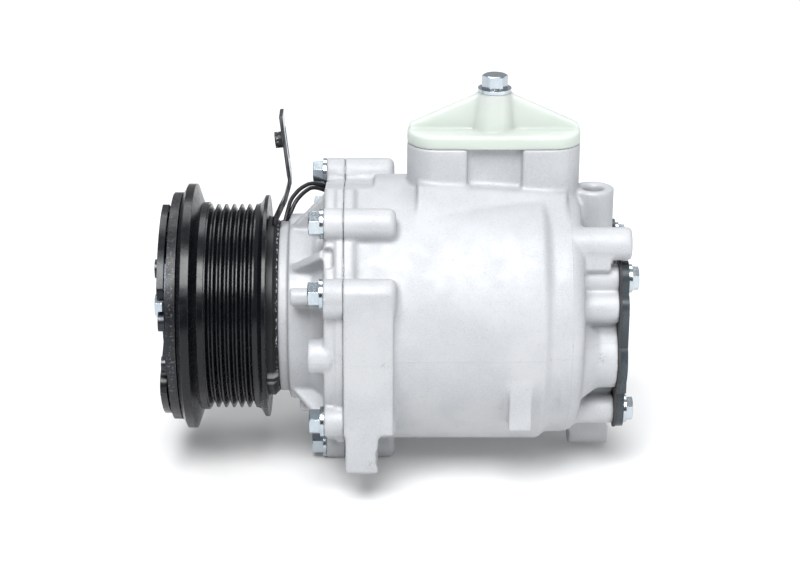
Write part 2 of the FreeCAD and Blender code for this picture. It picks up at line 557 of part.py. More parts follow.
def make_pulley():
    first = "-2.5 * groove_pitch"
    points = [
        ("pulley_front_x", "pulley_hub_r - 3"), ("pulley_front_x", "friction_face_r"),
        ("lip_chamfer_x", "lip_r"), ("lip_rear_x", "lip_r"), ("shoulder_x", "shoulder_r"),
        (f"{first} - groove_pitch / 2 - 0.4", "shoulder_r"),
        (f"{first} - groove_pitch / 2 - 0.4", "groove_crest_r"),
    ]
    for i in range(6):
        centre = f"{first} + {i} * groove_pitch"
        points += [
            (f"{centre} - groove_pitch / 2 + crest_flat / 2", "groove_crest_r"),
            (f"{centre} - bottom_flat / 2", "groove_bottom_r"),
            (f"{centre} + bottom_flat / 2", "groove_bottom_r"),
            (f"{centre} + groove_pitch / 2 - crest_flat / 2", "groove_crest_r"),
        ]
    points += [
        ("rear_shoulder_x - 1.6", "groove_crest_r"), ("rear_shoulder_x", "groove_crest_r + 0.7"),
        ("rear_flange_x - 1.6", "rear_flange_r"), ("rear_flange_x", "rear_flange_r"),
        ("rear_shoulder_x + 2.4", "groove_crest_r - 1.5"), ("rear_flange_x", "cavity_outer_r + 1.2"),
        ("rear_flange_x", "cavity_outer_r"),
        ("cavity_x", "cavity_outer_r"), ("cavity_x", "pulley_hub_r"),
        ("pb_x0 + pb_width + 2.6", "pulley_hub_r"), ("pb_x0 + pb_width + 2.6", "pb_outer_r"),
        ("pb_x0 - 0.1", "pb_outer_r"), ("pb_x0 - 0.1", "pb_outer_r - 1.5"),
        ("pulley_front_x + 5", "pb_outer_r - 1.5"),
    ]
    blank = turned("pulley_blank", points)
    # flux slots through the friction face, three arcs with bridges between them
    slots = [ring("slot_ring", "pulley_front_x - 1", "cavity_x + 1", "face_slot_r", "face_slot_r + 2.2")]
    bridges = []
    for i in range(4):
        bridges.append(block(f"slot_bridge_{i}", "pulley_front_x - 2", "cavity_x + 2", -2.5, 2.5,
                             30, 42, 45 + 90 * i))
    arcs = less("slot_arcs", slots[0], bridges)
    groove = ring("pulley_clip_groove", "pb_x0 + pb_width + 0.02", "pb_x0 + pb_width + 1.4",
                  "pb_outer_r - 1", "pb_outer_r + 1.2")
    less("pulley", blank, [arcs, groove])


def make_bearing(prefix, x0, width, bore, inner_land, outer_land, outer, ball_r, count, clear):
    """A deep groove ball bearing: two races, the balls and their cage."""
    middle = f"({x0}) + ({width}) / 2"
    pitch = f"(({inner_land}) + ({outer_land})) / 2"
    for kind, low, high in (("inner", bore, inner_land), ("outer", outer_land, outer)):
        blank = ring(f"{prefix}_{kind}_blank", x0, f"({x0}) + ({width})", low, high)
        track = doc.addObject("Part::Torus", f"{prefix}_{kind}_track")
        bind(track, "Radius1", pitch)
        bind(track, "Radius2", f"({ball_r}) + {clear}")
        place(track, middle, 0, 0, ALONG_X)
        less(f"{prefix}_{kind}_race", blank, [track])
    balls = []
    pockets = []
    for i in range(count):
        y, z = polar(pitch, 360 / count * i)
        for name, grow, shelf in (("ball", "0", balls), ("pocket", "0.12", pockets)):
            ball = doc.addObject("Part::Sphere", f"{prefix}_{name}_{i}")
            bind(ball, "Radius", f"({ball_r}) + {grow}")
            shelf.append(place(ball, middle, y, z))
    grouped(f"{prefix}_balls", balls)
    cage = ring(f"{prefix}_cage_blank", f"{middle} - ({ball_r}) - 0.8", f"{middle} + ({ball_r}) + 1.1",
                f"{pitch} - 0.9", f"{pitch} + 0.9")
    less(f"{prefix}_cage", cage, pockets)


def make_shields():
    low, high = "pb_inner_land - 0.9", "pb_outer_land - 0.02"
    front = ring("front_shield", "pb_x0 + 0.8", "pb_x0 + 1.4", "pb_inner_land + 0.3", high)
    rear = ring("rear_shield", "pb_x0 + pb_width - 1.4", "pb_x0 + pb_width - 0.8",
                "pb_inner_land + 0.3", high)
    grouped("pulley_bearing_shields", [front, rear])


def circlip(label, x0, x1, inner, outer, gap_angle, gap_from, gap_to):
    """A snap ring with a gap."""
    blank = ring(label + "_blank", x0, x1, inner, outer)
    gap = block(label + "_gap", f"{x0} - 1", f"{x1} + 1", -3, 3, gap_from, gap_to, gap_angle)
    return less(label, blank, [gap])


def make_coil():
    turned("coil_shell", [
        ("coil_x0", "coil_inner_r"), ("coil_x0", "coil_inner_r + coil_wall - 0.8"),
        ("coil_rear_x - 6", "coil_inner_r + coil_wall - 0.8"),
        ("coil_rear_x - 6", "coil_outer_r - coil_wall + 0.8"),
        ("coil_x0", "coil_outer_r - coil_wall + 0.8"), ("coil_x0", "coil_outer_r"),
        ("coil_rear_x - 2.2", "coil_outer_r"), ("coil_rear_x", "coil_outer_r - 2.2"),
        ("coil_rear_x", "coil_inner_r - 1"),
        ("pb_x0 + pb_width + 4", "coil_inner_r - 1"), ("pb_x0 + pb_width + 4", "coil_inner_r"),
    ])
    ring("coil_winding", "coil_x0 + 1.5", "coil_rear_x - 6", "coil_inner_r + coil_wall - 0.8",
         "coil_outer_r - coil_wall + 0.8")


def make_hub_and_armature():
    """The hub's three lobes carry arc-shaped leaves, whose far ends are riveted to the armature."""
    armature_front = "pulley_front_x - air_gap - armature_t"
    armature_rear = "pulley_front_x - air_gap"
    plate_rear = "hub_plate_x + hub_plate_t"
    leaf_front = f"{plate_rear} + leaf_gap"
    leaf_rear = f"{leaf_front} + leaf_t"
    half = "leaf_width / 2"
    hub_solids = [turned("hub_tube", [
        ("hub_plate_x", "shaft_end_r + 0.02"), ("hub_plate_x", "hub_centre_r - 1"),
        ("hub_plate_x + 1", "hub_centre_r"), (plate_rear, "hub_centre_r"), (plate_rear, "hub_tube_r"),
        ("hub_tube_x", "hub_tube_r"), ("hub_tube_x", "shaft_end_r + 0.02"),
    ])]
    leaves, leaf_holes, hub_holes = [], [], []
    hub_rivets, armature_rivets = [], []
    plate_holes, spacers = [], []
    for i in range(3):
        swing = SIZES["lobe_step"] * i
        middle = SIZES["lobe_middle"] + swing
        spread = SIZES["lobe_half"]
        hub_solids.append(sector(f"lobe_{i}", "hub_plate_x", plate_rear, 10, "hub_lobe_r",
                                 middle - spread + 6, middle + spread - 6))
        hub_solids.append(sector(f"lobe_foot_{i}", "hub_plate_x", plate_rear, 10, "hub_lobe_r - 6",
                                 middle - spread, middle + spread))
        for side in (-1, 1):
            y, z = polar("hub_lobe_r - 6", middle + side * (spread - 7.7))
            hub_solids.append(rod_x(f"lobe_corner_{i}_{side}", 6, "hub_plate_x", plate_rear, y, z))
        near, stop, end = (SIZES[name] + swing for name in
                           ("hub_rivet_angle", "stop_rivet_angle", "end_rivet_angle"))
        strip = [sector(f"leaf_{i}_arc", leaf_front, leaf_rear, f"rivet_circle_r - {half}",
                        f"rivet_circle_r + {half}", end, near)]
        for name, angle in (("near", near), ("end", end)):
            y, z = polar("rivet_circle_r", angle)
            strip.append(rod_x(f"leaf_{i}_{name}", half, leaf_front, leaf_rear, y, z))
        leaves.append(joined(f"leaf_{i}", strip))
        y, z = polar("rivet_circle_r", near)
        leaf_holes.append(rod_x(f"leaf_hole_{i}", "rivet_r + 0.3", "hub_plate_x", armature_rear, y, z))
        hub_holes.append(rod_x(f"hub_hole_{i}", "rivet_r", "hub_plate_x - 1", armature_rear, y, z))
        plate_holes.append(rod_x(f"window_{i}", "rivet_head_r + 1", "hub_plate_x", "cavity_x", y, z))
        hub_rivets.append(joined(f"hub_rivet_{i}", [
            rod_x(f"hub_rivet_{i}_head", "rivet_head_r", "hub_plate_x - 1.3", "hub_plate_x", y, z),
            rod_x(f"hub_rivet_{i}_shank", "rivet_r - 0.02", "hub_plate_x - 1", leaf_rear + " + 1.7", y, z),
            rod_x(f"hub_rivet_{i}_tail", "rivet_head_r", leaf_rear + " + 0.8", leaf_rear + " + 2", y, z)]))
        for name, angle, head_r, tall in (("stop", stop, 4.4, 2.8), ("end", end, 3.4, 2.2)):
            y, z = polar("rivet_circle_r", angle)
            leaf_holes.append(rod_x(f"leaf_{name}_hole_{i}", "rivet_r", "hub_plate_x", armature_rear, y, z))
            plate_holes.append(rod_x(f"plate_{name}_hole_{i}", "rivet_r", "hub_plate_x", "cavity_x", y, z))
            spacers.append(rod_x(f"{name}_spacer_{i}", half, leaf_rear, armature_front + " + 0.1", y, z))
            armature_rivets.append(joined(f"{name}_rivet_{i}", [
                rod_x(f"{name}_rivet_head_{i}", head_r, f"{leaf_front} - {tall}", leaf_front, y, z),
                rod_x(f"{name}_rivet_shank_{i}", "rivet_r - 0.02", leaf_front + " - 1",
                      armature_rear + " - 0.3", y, z)]))
    less("clutch_hub", joined("hub_blank", hub_solids), hub_holes)
    plate = ring("armature_blank", armature_front, armature_rear, "armature_bore_r", "armature_r")
    groove = ring("armature_groove", armature_front + " - 1", armature_front + " + 1.2",
                  "face_slot_r - 0.5", "face_slot_r + 0.3")
    less("armature_plate", joined("armature_raised", [plate] + spacers), plate_holes + [groove])
    less("leaf_springs", grouped("leaf_blanks", leaves), leaf_holes)
    grouped("hub_rivets", hub_rivets)
    grouped("armature_rivets", armature_rivets)
    # bolt, with the shim that sets the air gap
    head = bolt_head("clutch_bolt_head", "clutch_bolt_af", "clutch_bolt_tip_x", "hub_plate_x - 1.5")
    flange = rod_x("clutch_bolt_flange", "clutch_bolt_flange_r", "hub_plate_x - 1.6", "hub_plate_x")
    shank = rod_x("clutch_bolt_shank", 2.98, "hub_plate_x - 1", "shaft_end_x + 14")
    joined("clutch_bolt", [head, flange, shank])
    ring("clutch_shim", "hub_tube_x", "shaft_step_x", "shaft_end_r + 0.1", "shaft_end_r + 2.3")


# ---------------------------------------------------------------- shaft and scrolls

def make_shaft():
    body = turned("shaft_turning", [
        ("shaft_end_x", 3.0), ("shaft_end_x", "shaft_end_r"), ("shaft_step_x", "shaft_end_r"),
        ("shaft_step_x", "shaft_r"), ("journal_x - 1", "shaft_r"), ("journal_x - 1", "journal_r - 0.02"),
        ("disc_x", "journal_r - 0.02"), ("disc_x", "disc_r"), ("pin_x", "disc_r"),
        ("pin_x", 0), ("shaft_end_x + 16", 0), ("shaft_end_x + 16", 3.0),
    ])
    pin = rod_x("eccentric_pin", "pin_r", "pin_x - 1", "pin_end_x", 0, "orbit_r")
    joined("crankshaft", [body, pin])
    ring_at("eccentric_bushing", "pin_r + 0.02", "boss_bore_r - 3.02", "pin_x + 2.7", "pin_end_x", "orbit_r")
    # the counterweight is a half disc with a thick outer band
    web = rod_x("weight_disc", 30, "pin_x + 0.1", "pin_x + 2.1")
    band = ring("weight_band", "pin_x + 0.1", "pin_end_x - 1", 23.5, 30)
    keep = block("weight_half", "pin_x - 1", "pin_end_x + 1", -35, 35, -35, -2)
    half = doc.addObject("Part::Common", "weight_lower")
    half.Base = joined("weight_round", [web, band])
    half.Tool = keep
    collar = rod_x("weight_collar", "pin_r + 4", "pin_x + 0.1", "pin_x + 2.1", 0, "orbit_r")
    bridge = block("weight_bridge", "pin_x + 0.1", "pin_x + 2.1", "-pin_r - 4", "pin_r + 4", -6, "orbit_r")
    hole = rod_x("weight_hole", "pin_r + 0.02", "pin_x - 1", "pin_x + 4", 0, "orbit_r")
    less("counterweight", joined("weight_blank", [half, collar, bridge]), [hole])


def ring_at(label, inner, outer, x0, x1, z):
    """A ring whose axis is level with the shaft but shifted up by z."""
    outer_rod = rod_x(label + "_outer", outer, x0, x1, 0, z)
    inner_rod = rod_x(label + "_inner", inner, f"{x0} - 1", f"{x1} + 1", 0, z)
    return less(label, outer_rod, [inner_rod])


def needles_at(label, count, circle, radius, x0, x1, z):
    """The rollers of a needle bearing."""
    rollers = []
    for i in range(count):
        y, height = polar(circle, 360 / count * i)
        rollers.append(rod_x(f"{label}_{i}", radius, x0, x1, y, f"{height} + {z}"))
    return grouped(label, rollers)


def make_shaft_supports():
    turned("shaft_seal", [
        ("seal_x0", "shaft_r + 1.2"), ("seal_x0", "seal_bore_r - 0.02"), ("seal_x1", "seal_bore_r - 0.02"),
        ("seal_x1", "shaft_r + 3.5"), ("seal_x1 - 1.5", "shaft_r + 3.5"), ("seal_x1 - 1.5", "shaft_r + 0.3"),
        ("seal_x1 - 4", "shaft_r + 0.03"), ("seal_x1 - 5", "shaft_r + 0.3"),
        ("seal_x1 - 4.5", "shaft_r + 2.5"),
        ("seal_x0 + 1.5", "shaft_r + 2.5"), ("seal_x0 + 1.5", "shaft_r + 1.2"),
    ])
    circlip("seal_circlip", "seal_x0 - 1.25", "seal_x0 - 0.05", "seal_bore_r - 1.8", "seal_bore_r + 1.1",
            180, 9, 16)
    circlip("nose_circlip", "pb_x0 - 1.35", "pb_x0 - 0.05", "nose_r - 1.15", "nose_r + 1.8", 180, 14, 22)
    circlip("pulley_circlip", "pb_x0 + pb_width + 0.05", "pb_x0 + pb_width + 1.35", "pb_outer_r - 2",
            "pb_outer_r + 1.1", 180, 22, 30)
    ring("front_bearing_cup", "needle_cup_x0", "needle_cup_x1", "shaft_r + 2 * needle_r + 0.06",
         "seal_bore_r - 0.02")
    needles_at("front_bearing_needles", SIZES["needles"], "shaft_r + needle_r + 0.03", "needle_r",
               "needle_cup_x0 + 1", "needle_cup_x1 - 1", "0")
    ring_at("scroll_bearing_cup", "boss_bore_r - 0.9", "boss_bore_r - 0.02", "scroll_boss_x + 0.3",
            "orbit_plate_x - 1.2", "orbit_r")
    needles_at("scroll_bearing_needles", 18, "boss_bore_r - 0.9 - 1.06", 1.0,
               "scroll_boss_x + 0.8", "orbit_plate_x - 2.2", "orbit_r")


def involute(base, start, end, shift, turn, lift):
    """Points of an involute whose roll angle runs from start to end. shift offsets the curve
    sideways, turn rotates it and lift moves it up."""
    points = []
    steps = int((end - start) / 0.35)
    for i in range(steps + 1):
        roll = start + (end - start) * i / steps
        radial = base * (roll - shift)
        y = base * math.cos(roll) + radial * math.sin(roll)
        z = base * math.sin(roll) - radial * math.cos(roll)
        points.append(Vector(0, y * math.cos(turn) - z * math.sin(turn),
                             y * math.sin(turn) + z * math.cos(turn) + lift))
    return points


def wrap_shape(thickness, x0, x1, turn, lift, start, end):
    """One scroll wrap as a solid, with square ends."""
    base = SIZES["base_circle_r"]
    half = thickness / 2 / base
    sides = []
    for shift in (half, -half):
        curve = Part.BSplineCurve()
        curve.interpolate(involute(base, start, end, shift, turn, lift))
        sides.append(curve.toShape())
    first, last = sides
    closing = [Part.makeLine(first.valueAt(first.FirstParameter), last.valueAt(last.FirstParameter)),
               Part.makeLine(first.valueAt(first.LastParameter), last.valueAt(last.LastParameter))]
    wire = Part.Wire(Part.__sortEdges__([first, last] + closing))
    solid = Part.Face(wire).extrude(Vector(x1 - x0, 0, 0))
    solid.translate(Vector(x0, 0, 0))
    return solid


def make_scrolls():
    wrap_start = 2.4
    wrap_end = 4.6 * math.pi
    orbit = SIZES["orbit_r"]
    x0, x1 = SIZES["wrap_x0"], SIZES["wrap_x1"]
    seal_deep = 1.4
    seal_wide = 1.6
    # fixed scroll: cup, wrap, discharge port and suction window
    cup = turned("fixed_cup", [
        ("wrap_x0", "scroll_wall_r"), ("wrap_x0", "bore_r - 0.05"), ("scroll_base_x", "bore_r - 0.05"),
        ("scroll_base_x", 0), ("wrap_x1", 0), ("wrap_x1", "scroll_wall_r"),
    ])
    wrap = shaped("fixed_wrap", wrap_shape(SIZES["wrap_t"], x0 + 0.1, x1 + 0.5, 0, 0, wrap_start, wrap_end))
    tools = [
        shaped("fixed_seal_groove", wrap_shape(seal_wide + 0.1, x0, x0 + seal_deep, 0, 0, wrap_start + 0.5,
                                               wrap_end - 0.3)),
        rod_x("discharge_bore", 4.5, "wrap_x1 - 1", "scroll_base_x + 1", 3, 0),
        block("suction_window", "suction_x - 12", "suction_x + 5.5", -9, 9, 46, 60),
        ring("o_ring_groove", 99.1, 101.6, "bore_r - 2.2", "bore_r + 1"),
        rod_x("reed_screw_hole", 2.0, "scroll_base_x - 8", "scroll_base_x + 1", 3, 24),
    ]
    less("fixed_scroll", joined("fixed_blank", [cup, wrap]), tools)
    shaped("fixed_tip_seal", wrap_shape(seal_wide, x0 + 0.05, x0 + seal_deep - 0.02, 0, 0,
                                        wrap_start + 0.6, wrap_end - 0.4))
    ring("fixed_scroll_o_ring", 99.2, 101.5, "bore_r - 2.15", "bore_r - 0.02")
    # orbiting scroll, half a turn round from the fixed one
    plate = rod_x("orbit_plate", "orbit_plate_r", "orbit_plate_x", "wrap_x0 - 0.15", 0, "orbit_r")
    boss = rod_x("orbit_boss", "scroll_boss_r", "scroll_boss_x", "orbit_plate_x + 1", 0, "orbit_r")
    wrap = shaped("orbit_wrap", wrap_shape(SIZES["wrap_t"], x0 - 1, x1 - 0.1, math.pi, orbit,
                                           wrap_start, wrap_end))
    tools = [rod_x("orbit_bore", "boss_bore_r", "scroll_boss_x - 1", "orbit_plate_x - 0.9", 0, "orbit_r"),
             shaped("orbit_seal_groove", wrap_shape(seal_wide + 0.1, x1 - seal_deep, x1, math.pi, orbit,
                                                    wrap_start + 0.5, wrap_end - 0.3))]
    rings = []
    pins = []
    for i in range(4):
        y, z = polar("guide_circle_r", f"45 + {i} * guide_step")
        lifted = f"{z} + orbit_r"
        tools.append(rod_x(f"ring_pocket_{i}", "guide_ring_r + 0.01", "orbit_plate_x - 1",
                           "orbit_plate_x + 4.2", y, lifted))
        outer = rod_x(f"guide_ring_{i}_outer", "guide_ring_r", "orbit_plate_x + 0.1", "orbit_plate_x + 4.1",
                      y, lifted)
        inner = rod_x(f"guide_ring_{i}_inner", "orbit_r + guide_pin_r + 0.1", "orbit_plate_x - 1",
                      "orbit_plate_x + 6", y, lifted)
        rings.append(less(f"guide_ring_{i}", outer, [inner]))
        pins.append(rod_x(f"guide_pin_{i}", "guide_pin_r", "joint_x - 8.8", "orbit_plate_x + 3.8", y, z))
    less("orbiting_scroll", joined("orbit_blank", [plate, boss, wrap]), tools)
    grouped("anti_rotation_rings", rings)
    grouped("anti_rotation_pins", pins)
    shaped("orbiting_tip_seal", wrap_shape(seal_wide, x1 - seal_deep + 0.02, x1 - 0.05, math.pi, orbit,
                                           wrap_start + 0.6, wrap_end - 0.4))
    wear = ring("wear_blank", "joint_x + 0.1", "orbit_plate_x - 0.2", "crank_room_r - 1", "bore_r - 0.5")
    holes = []
    for i in range(4):
        y, z = polar("guide_circle_r", f"45 + {i} * guide_step")
        holes.append(rod_x(f"wear_hole_{i}", "guide_pin_r + 0.05", "joint_x - 1", "orbit_plate_x + 1", y, z))
    less("wear_plate", wear, holes)


def make_reed():
    """The discharge reed, its curved stop and the screw that clamps both."""
    x = "scroll_base_x"
    thin = (f"{x} + 0.03", f"{x} + 0.4")
    joined("discharge_reed", [block("reed_strip", *thin, -1, 7, 0, "reed_hinge_z - 0.05"),
                              rod_x("reed_tip", 6.2, *thin, 3, 0)])
    root = joined("reed_root_blank", [block("reed_root_strip", *thin, -1, 7, "reed_hinge_z", 24),
                                      rod_x("reed_root_end", 4.5, *thin, 3, 24)])
    less("reed_root", root, [rod_x("reed_hole", 2.3, f"{x} - 1", f"{x} + 2", 3, 24)])
    body = plate_y("stop_strip", [(f"{x} + 0.5", 28), (f"{x} + 2", 28), (f"{x} + 2", "reed_hinge_z + 0.6"),
                                  (f"{x} + 5.2", -6), (f"{x} + 3.7", -6.4),
                                  (f"{x} + 0.5", "reed_hinge_z")], 9)
    body.Placement = FreeCAD.Placement(Vector(0, 3, 0), FreeCAD.Rotation())
    less("reed_stop", body, [rod_x("stop_hole", 2.3, f"{x} - 1", f"{x} + 6", 3, 24)])
    head = rod_x("reed_screw_head", 3.8, f"{x} + 2", f"{x} + 4.6", 3, 24)
    shank = rod_x("reed_screw_shank", 1.98, f"{x} - 7", f"{x} + 3", 3, 24)
    socket = hexagon_x("reed_screw_socket", 3.0, f"{x} + 3.2", f"{x} + 6", 3, 24)
    less("reed_screw", joined("reed_screw_blank", [head, shank]), [socket])


# ---------------------------------------------------------------- cap, bracket and lead

def make_cap():
    solids = []
    for name, x in (("a", "suction_x"), ("b", "discharge_x")):
        solids.append(rod_z(f"cap_end_{name}", "port_r", "port_top_z + 0.05", "cap_top_z", x))
    solids.append(block("cap_base", "suction_x", "discharge_x", "-port_r", "port_r",
                        "port_top_z + 0.05", "cap_top_z"))
    solids.append(cone_z("cap_post", "cap_post_r", "cap_post_top_r", "cap_top_z - 1", "cap_post_top_z",
                           "cap_screw_x"))
    web = plate_y("cap_web", [
        ("suction_x - port_r + 1", "cap_top_z - 1"), ("suction_x - port_r + 1", "cap_top_z + 2.5"),
        ("cap_screw_x - 6.8", "cap_post_top_z - 0.6"), ("cap_screw_x + 6.8", "cap_post_top_z - 0.6"),
        ("discharge_x + port_r - 1", "cap_top_z + 2.5"), ("discharge_x + port_r - 1", "cap_top_z - 1"),
    ], "2 * cap_web_half")
    solids.append(web)
    holes = [rod_z("cap_hole", "cap_screw_r + 0.6", "port_top_z - 1", "cap_post_top_z + 1", "cap_screw_x")]
    less("shipping_cap", joined("cap_blank", solids), holes)
    prism = doc.addObject("Part::Prism", "cap_bolt_prism")
    prism.Polygon = 6
    bind(prism, "Circumradius", "bolt_af / 2 / cos(30)")
    bind(prism, "Height", "cap_bolt_top_z - cap_post_top_z - 1.5")
    place(prism, "cap_screw_x", 0, "cap_post_top_z + 1.5", FreeCAD.Rotation(Vector(0, 0, 1), 4))
    chamfer = cone_z("cap_bolt_chamfer", "bolt_af / 2 + 13", "bolt_af / 2 - 0.3",
                       "cap_post_top_z + 1.5", "cap_bolt_top_z", "cap_screw_x")
    head = doc.addObject("Part::Common", "cap_bolt_head")
    head.Base = prism
    head.Tool = chamfer
    flange = rod_z("cap_bolt_flange", 7.4, "cap_post_top_z", "cap_post_top_z + 1.7", "cap_screw_x")
    shank = rod_z("cap_bolt_shank", "cap_screw_r - 0.05", 62, "cap_post_top_z + 1", "cap_screw_x")
    joined("cap_bolt", [head, flange, shank])


def tube(points, radius):
    """A round tube along straight runs joined by the largest tangent arcs."""
    corners = [Vector(*p) for p in points]
    edges = []
    last = corners[0]
    for before, corner, after in zip(corners, corners[1:], corners[2:]):
        into = (corner - before).normalize()
        out = (after - corner).normalize()
        turn = into.getAngle(out)
        short = min((corner - before).Length, (after - corner).Length)
        bend = 0.45 * short / math.tan(turn / 2)
        start = corner - into * 0.45 * short
        end = corner + out * 0.45 * short
        inward = (out - into).normalize()
        middle = corner + inward * (bend / math.cos(turn / 2) - bend)
        edges.append(Part.LineSegment(last, start).toShape())
        edges.append(Part.Arc(start, middle, end).toShape())
        last = end
    edges.append(Part.LineSegment(last, corners[-1]).toShape())
    path = Part.Wire(edges)
    direction = (corners[1] - corners[0]).normalize()
    profile = Part.Wire(Part.makeCircle(radius, corners[0], direction))
    return path.makePipeShell([profile], True, True)


# points of each wire (x, radius, angle), from the coil to the plug
WIRE_ROUTES = [
    [(21.25, 38.2, 112), (23.0, 38.4, 112), (24.2, 43.3, 114), (25.4, 48.9, 117), (29.4, 54.5, 119.4),
     (34.7, 58.0, 121.9), (40.5, 57.3, 124), (43.6, 56.8, 129), (43.8, 56.7, 138), (43.0, 56.4, 146),
     (36.5, 55.0, 153), (29.0, 51.5, 161), (29.0, 50.2, 167.5)],
    [(21.25, 38.2, 116), (23.4, 38.4, 116), (25.6, 43.0, 116.5), (27.7, 48.2, 117), (31.2, 52.6, 119.2),
     (35.2, 56.0, 122), (40.5, 55.3, 124), (43.6, 54.8, 129), (43.8, 54.7, 138), (43.0, 54.3, 147),
     (37.5, 53.0, 154), (31.5, 50.3, 160), (31.5, 47.8, 166.5)],
]


def make_bracket_and_lead():
    strip = plate_y("bracket_strip", [
        (19.4, 39.8), (25.0, 52.0), (27.2, 60.5), (26.4, 68.0), (23.6, 92.0), (22.0, 91.8),
        (24.8, 67.6), (25.5, 60.8), (23.4, 52.6), (17.8, 40.6)], 13)
    tools = [block("bracket_slot", 15, 35, -2.2, 2.2, 71, 85.5),
             block("bracket_narrow_a", 10, 35, 4.5, 8, 30, 64),
             block("bracket_narrow_b", 10, 35, -8, -4.5, 30, 64)]
    less("connector_bracket", strip, tools)
    nut = rod_x("bracket_nut", 3.65, 19.95, 23.0, 0, 79.3)
    nut.Placement.Rotation = FreeCAD.Rotation(Vector(0, 1, 0), 90 - 6.5)
    wires = []
    for i, route in enumerate(WIRE_ROUTES):
        points = [(x, value(polar(r, angle)[0]), value(polar(r, angle)[1])) for x, r, angle in route]
        wires.append(shaped(f"wire_{i}", tube(points, 0.95)))
    grouped("coil_lead", wires)
    body = block("plug_body", 23.5, 36.5, 44.5, 56.5, -4, 12)
    collar = rod_z("plug_collar", 5.2, -11, -2, 30, 50.5)
    socket = rod_z("plug_socket", 4.1, -12, 5, 30, 50.5)
    less("lead_plug", joined("plug_blank", [body, collar]), [socket])


# ---------------------------------------------------------------- the whole part

NODES = [
    "front_housing", "main_housing", "housing_bolts", "dowel_pins", "housing_o_ring", "coil_shell",
    "coil_winding", "coil_lead", "lead_plug", "connector_bracket", "bracket_nut", "nose_circlip",
    "pulley_bearing_inner_race", "shaft_seal", "seal_circlip", "front_bearing_cup",
    "main_bearing_outer_race", "anti_rotation_pins", "wear_plate", "fixed_scroll", "fixed_tip_seal",
    "fixed_scroll_o_ring", "reed_root", "reed_stop", "reed_screw",
    "rear_gasket", "rear_cover", "rear_cover_bolts",
    "pulley", "pulley_bearing_outer_race", "pulley_bearing_shields", "pulley_circlip",
    "pulley_bearing_balls", "pulley_bearing_cage",
    "crankshaft", "clutch_hub", "hub_rivets", "clutch_shim", "clutch_bolt", "counterweight",
    "eccentric_bushing", "main_bearing_inner_race",
    "main_bearing_balls", "main_bearing_cage", "front_bearing_needles",
    "armature_plate", "leaf_springs", "armature_rivets",
    "orbiting_scroll", "orbiting_tip_seal", "anti_rotation_rings", "scroll_bearing_cup",
    "scroll_bearing_needles", "shipping_cap", "cap_bolt", "discharge_reed",
]

make_front_housing()
make_main_housing()
make_covers()
make_bolts()
make_pulley()
make_bearing("pulley_bearing", "pb_x0", "pb_width", "pb_bore_r", "pb_inner_land", "pb_outer_land",
             "pb_outer_r - 0.02", "pb_ball_r", SIZES["pb_balls"], 0.03)
make_shields()
make_coil()
make_hub_and_armature()
make_shaft()
make_bearing("main_bearing", "mb_x0", "mb_width", "journal_r", "mb_inner_land", "mb_outer_land",
             "mb_outer_r", "mb_ball_r", SIZES["mb_balls"], 0.03)
make_shaft_supports()
make_scrolls()
make_reed()
make_cap()
make_bracket_and_lead()
doc.recompute()

for item in doc.Objects:
    if any(word in item.State for word in ("Invalid", "Error")):
        raise RuntimeError(f"{item.Label} did not build: {item.State}")

os.makedirs("parts", exist_ok=True)
for label in NODES:
    piece = doc.getObjectsByLabel(label)[0]
    shape = piece.Shape
    if shape.isNull() or not shape.isValid() or not shape.Solids:
        raise RuntimeError(f"{label} is not a valid solid")
    shape.exportStep(f"parts/{label}.step")
    box = shape.BoundBox
    print(f"{label:28s} solids {len(shape.Solids):3d} volume {shape.Volume / 1000:8.2f} cm3  "
          f"X {box.XMin:7.1f} {box.XMax:7.1f}  Y {box.YMin:7.1f} {box.YMax:7.1f}  "
          f"Z {box.ZMin:7.1f} {box.ZMax:7.1f}")
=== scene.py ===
"""Looks of the belt-driven air-conditioning compressor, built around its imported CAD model.

The cast housings and the moulded cap are rebuilt with soft, cast edges from the CAD meshes, the
tapped holes get real threads, and every other CAD node keeps its mesh and gets a procedural
material. Places come from the frame and its record, in metres.
"""
import json
import math

import bmesh
import bpy
import numpy as np
from mathutils import Matrix, Vector


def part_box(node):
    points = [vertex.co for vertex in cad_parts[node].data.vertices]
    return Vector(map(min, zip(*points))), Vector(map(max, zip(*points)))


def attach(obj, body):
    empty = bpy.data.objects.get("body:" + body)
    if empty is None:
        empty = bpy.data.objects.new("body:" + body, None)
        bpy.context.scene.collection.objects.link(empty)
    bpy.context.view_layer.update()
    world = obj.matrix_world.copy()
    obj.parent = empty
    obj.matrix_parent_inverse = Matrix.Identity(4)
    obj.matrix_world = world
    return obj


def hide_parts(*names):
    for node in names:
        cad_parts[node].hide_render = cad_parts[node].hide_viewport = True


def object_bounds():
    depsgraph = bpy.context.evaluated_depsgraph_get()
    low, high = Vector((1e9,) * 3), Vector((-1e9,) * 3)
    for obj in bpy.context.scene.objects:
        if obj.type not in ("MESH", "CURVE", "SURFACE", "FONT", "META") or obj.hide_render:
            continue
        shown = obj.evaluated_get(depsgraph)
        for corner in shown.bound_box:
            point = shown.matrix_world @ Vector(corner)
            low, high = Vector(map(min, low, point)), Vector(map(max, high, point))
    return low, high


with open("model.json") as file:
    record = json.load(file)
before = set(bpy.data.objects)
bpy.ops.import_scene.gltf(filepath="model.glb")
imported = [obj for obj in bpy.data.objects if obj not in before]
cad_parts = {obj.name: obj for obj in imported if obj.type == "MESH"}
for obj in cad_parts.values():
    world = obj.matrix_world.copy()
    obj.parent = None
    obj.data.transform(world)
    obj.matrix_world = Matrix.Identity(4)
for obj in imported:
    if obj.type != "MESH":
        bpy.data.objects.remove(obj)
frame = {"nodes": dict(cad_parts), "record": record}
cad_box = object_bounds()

MM = 0.001
NODES = frame["nodes"]
MOUNTS = {mount["name"]: mount for mount in frame["record"]["mounts"]}


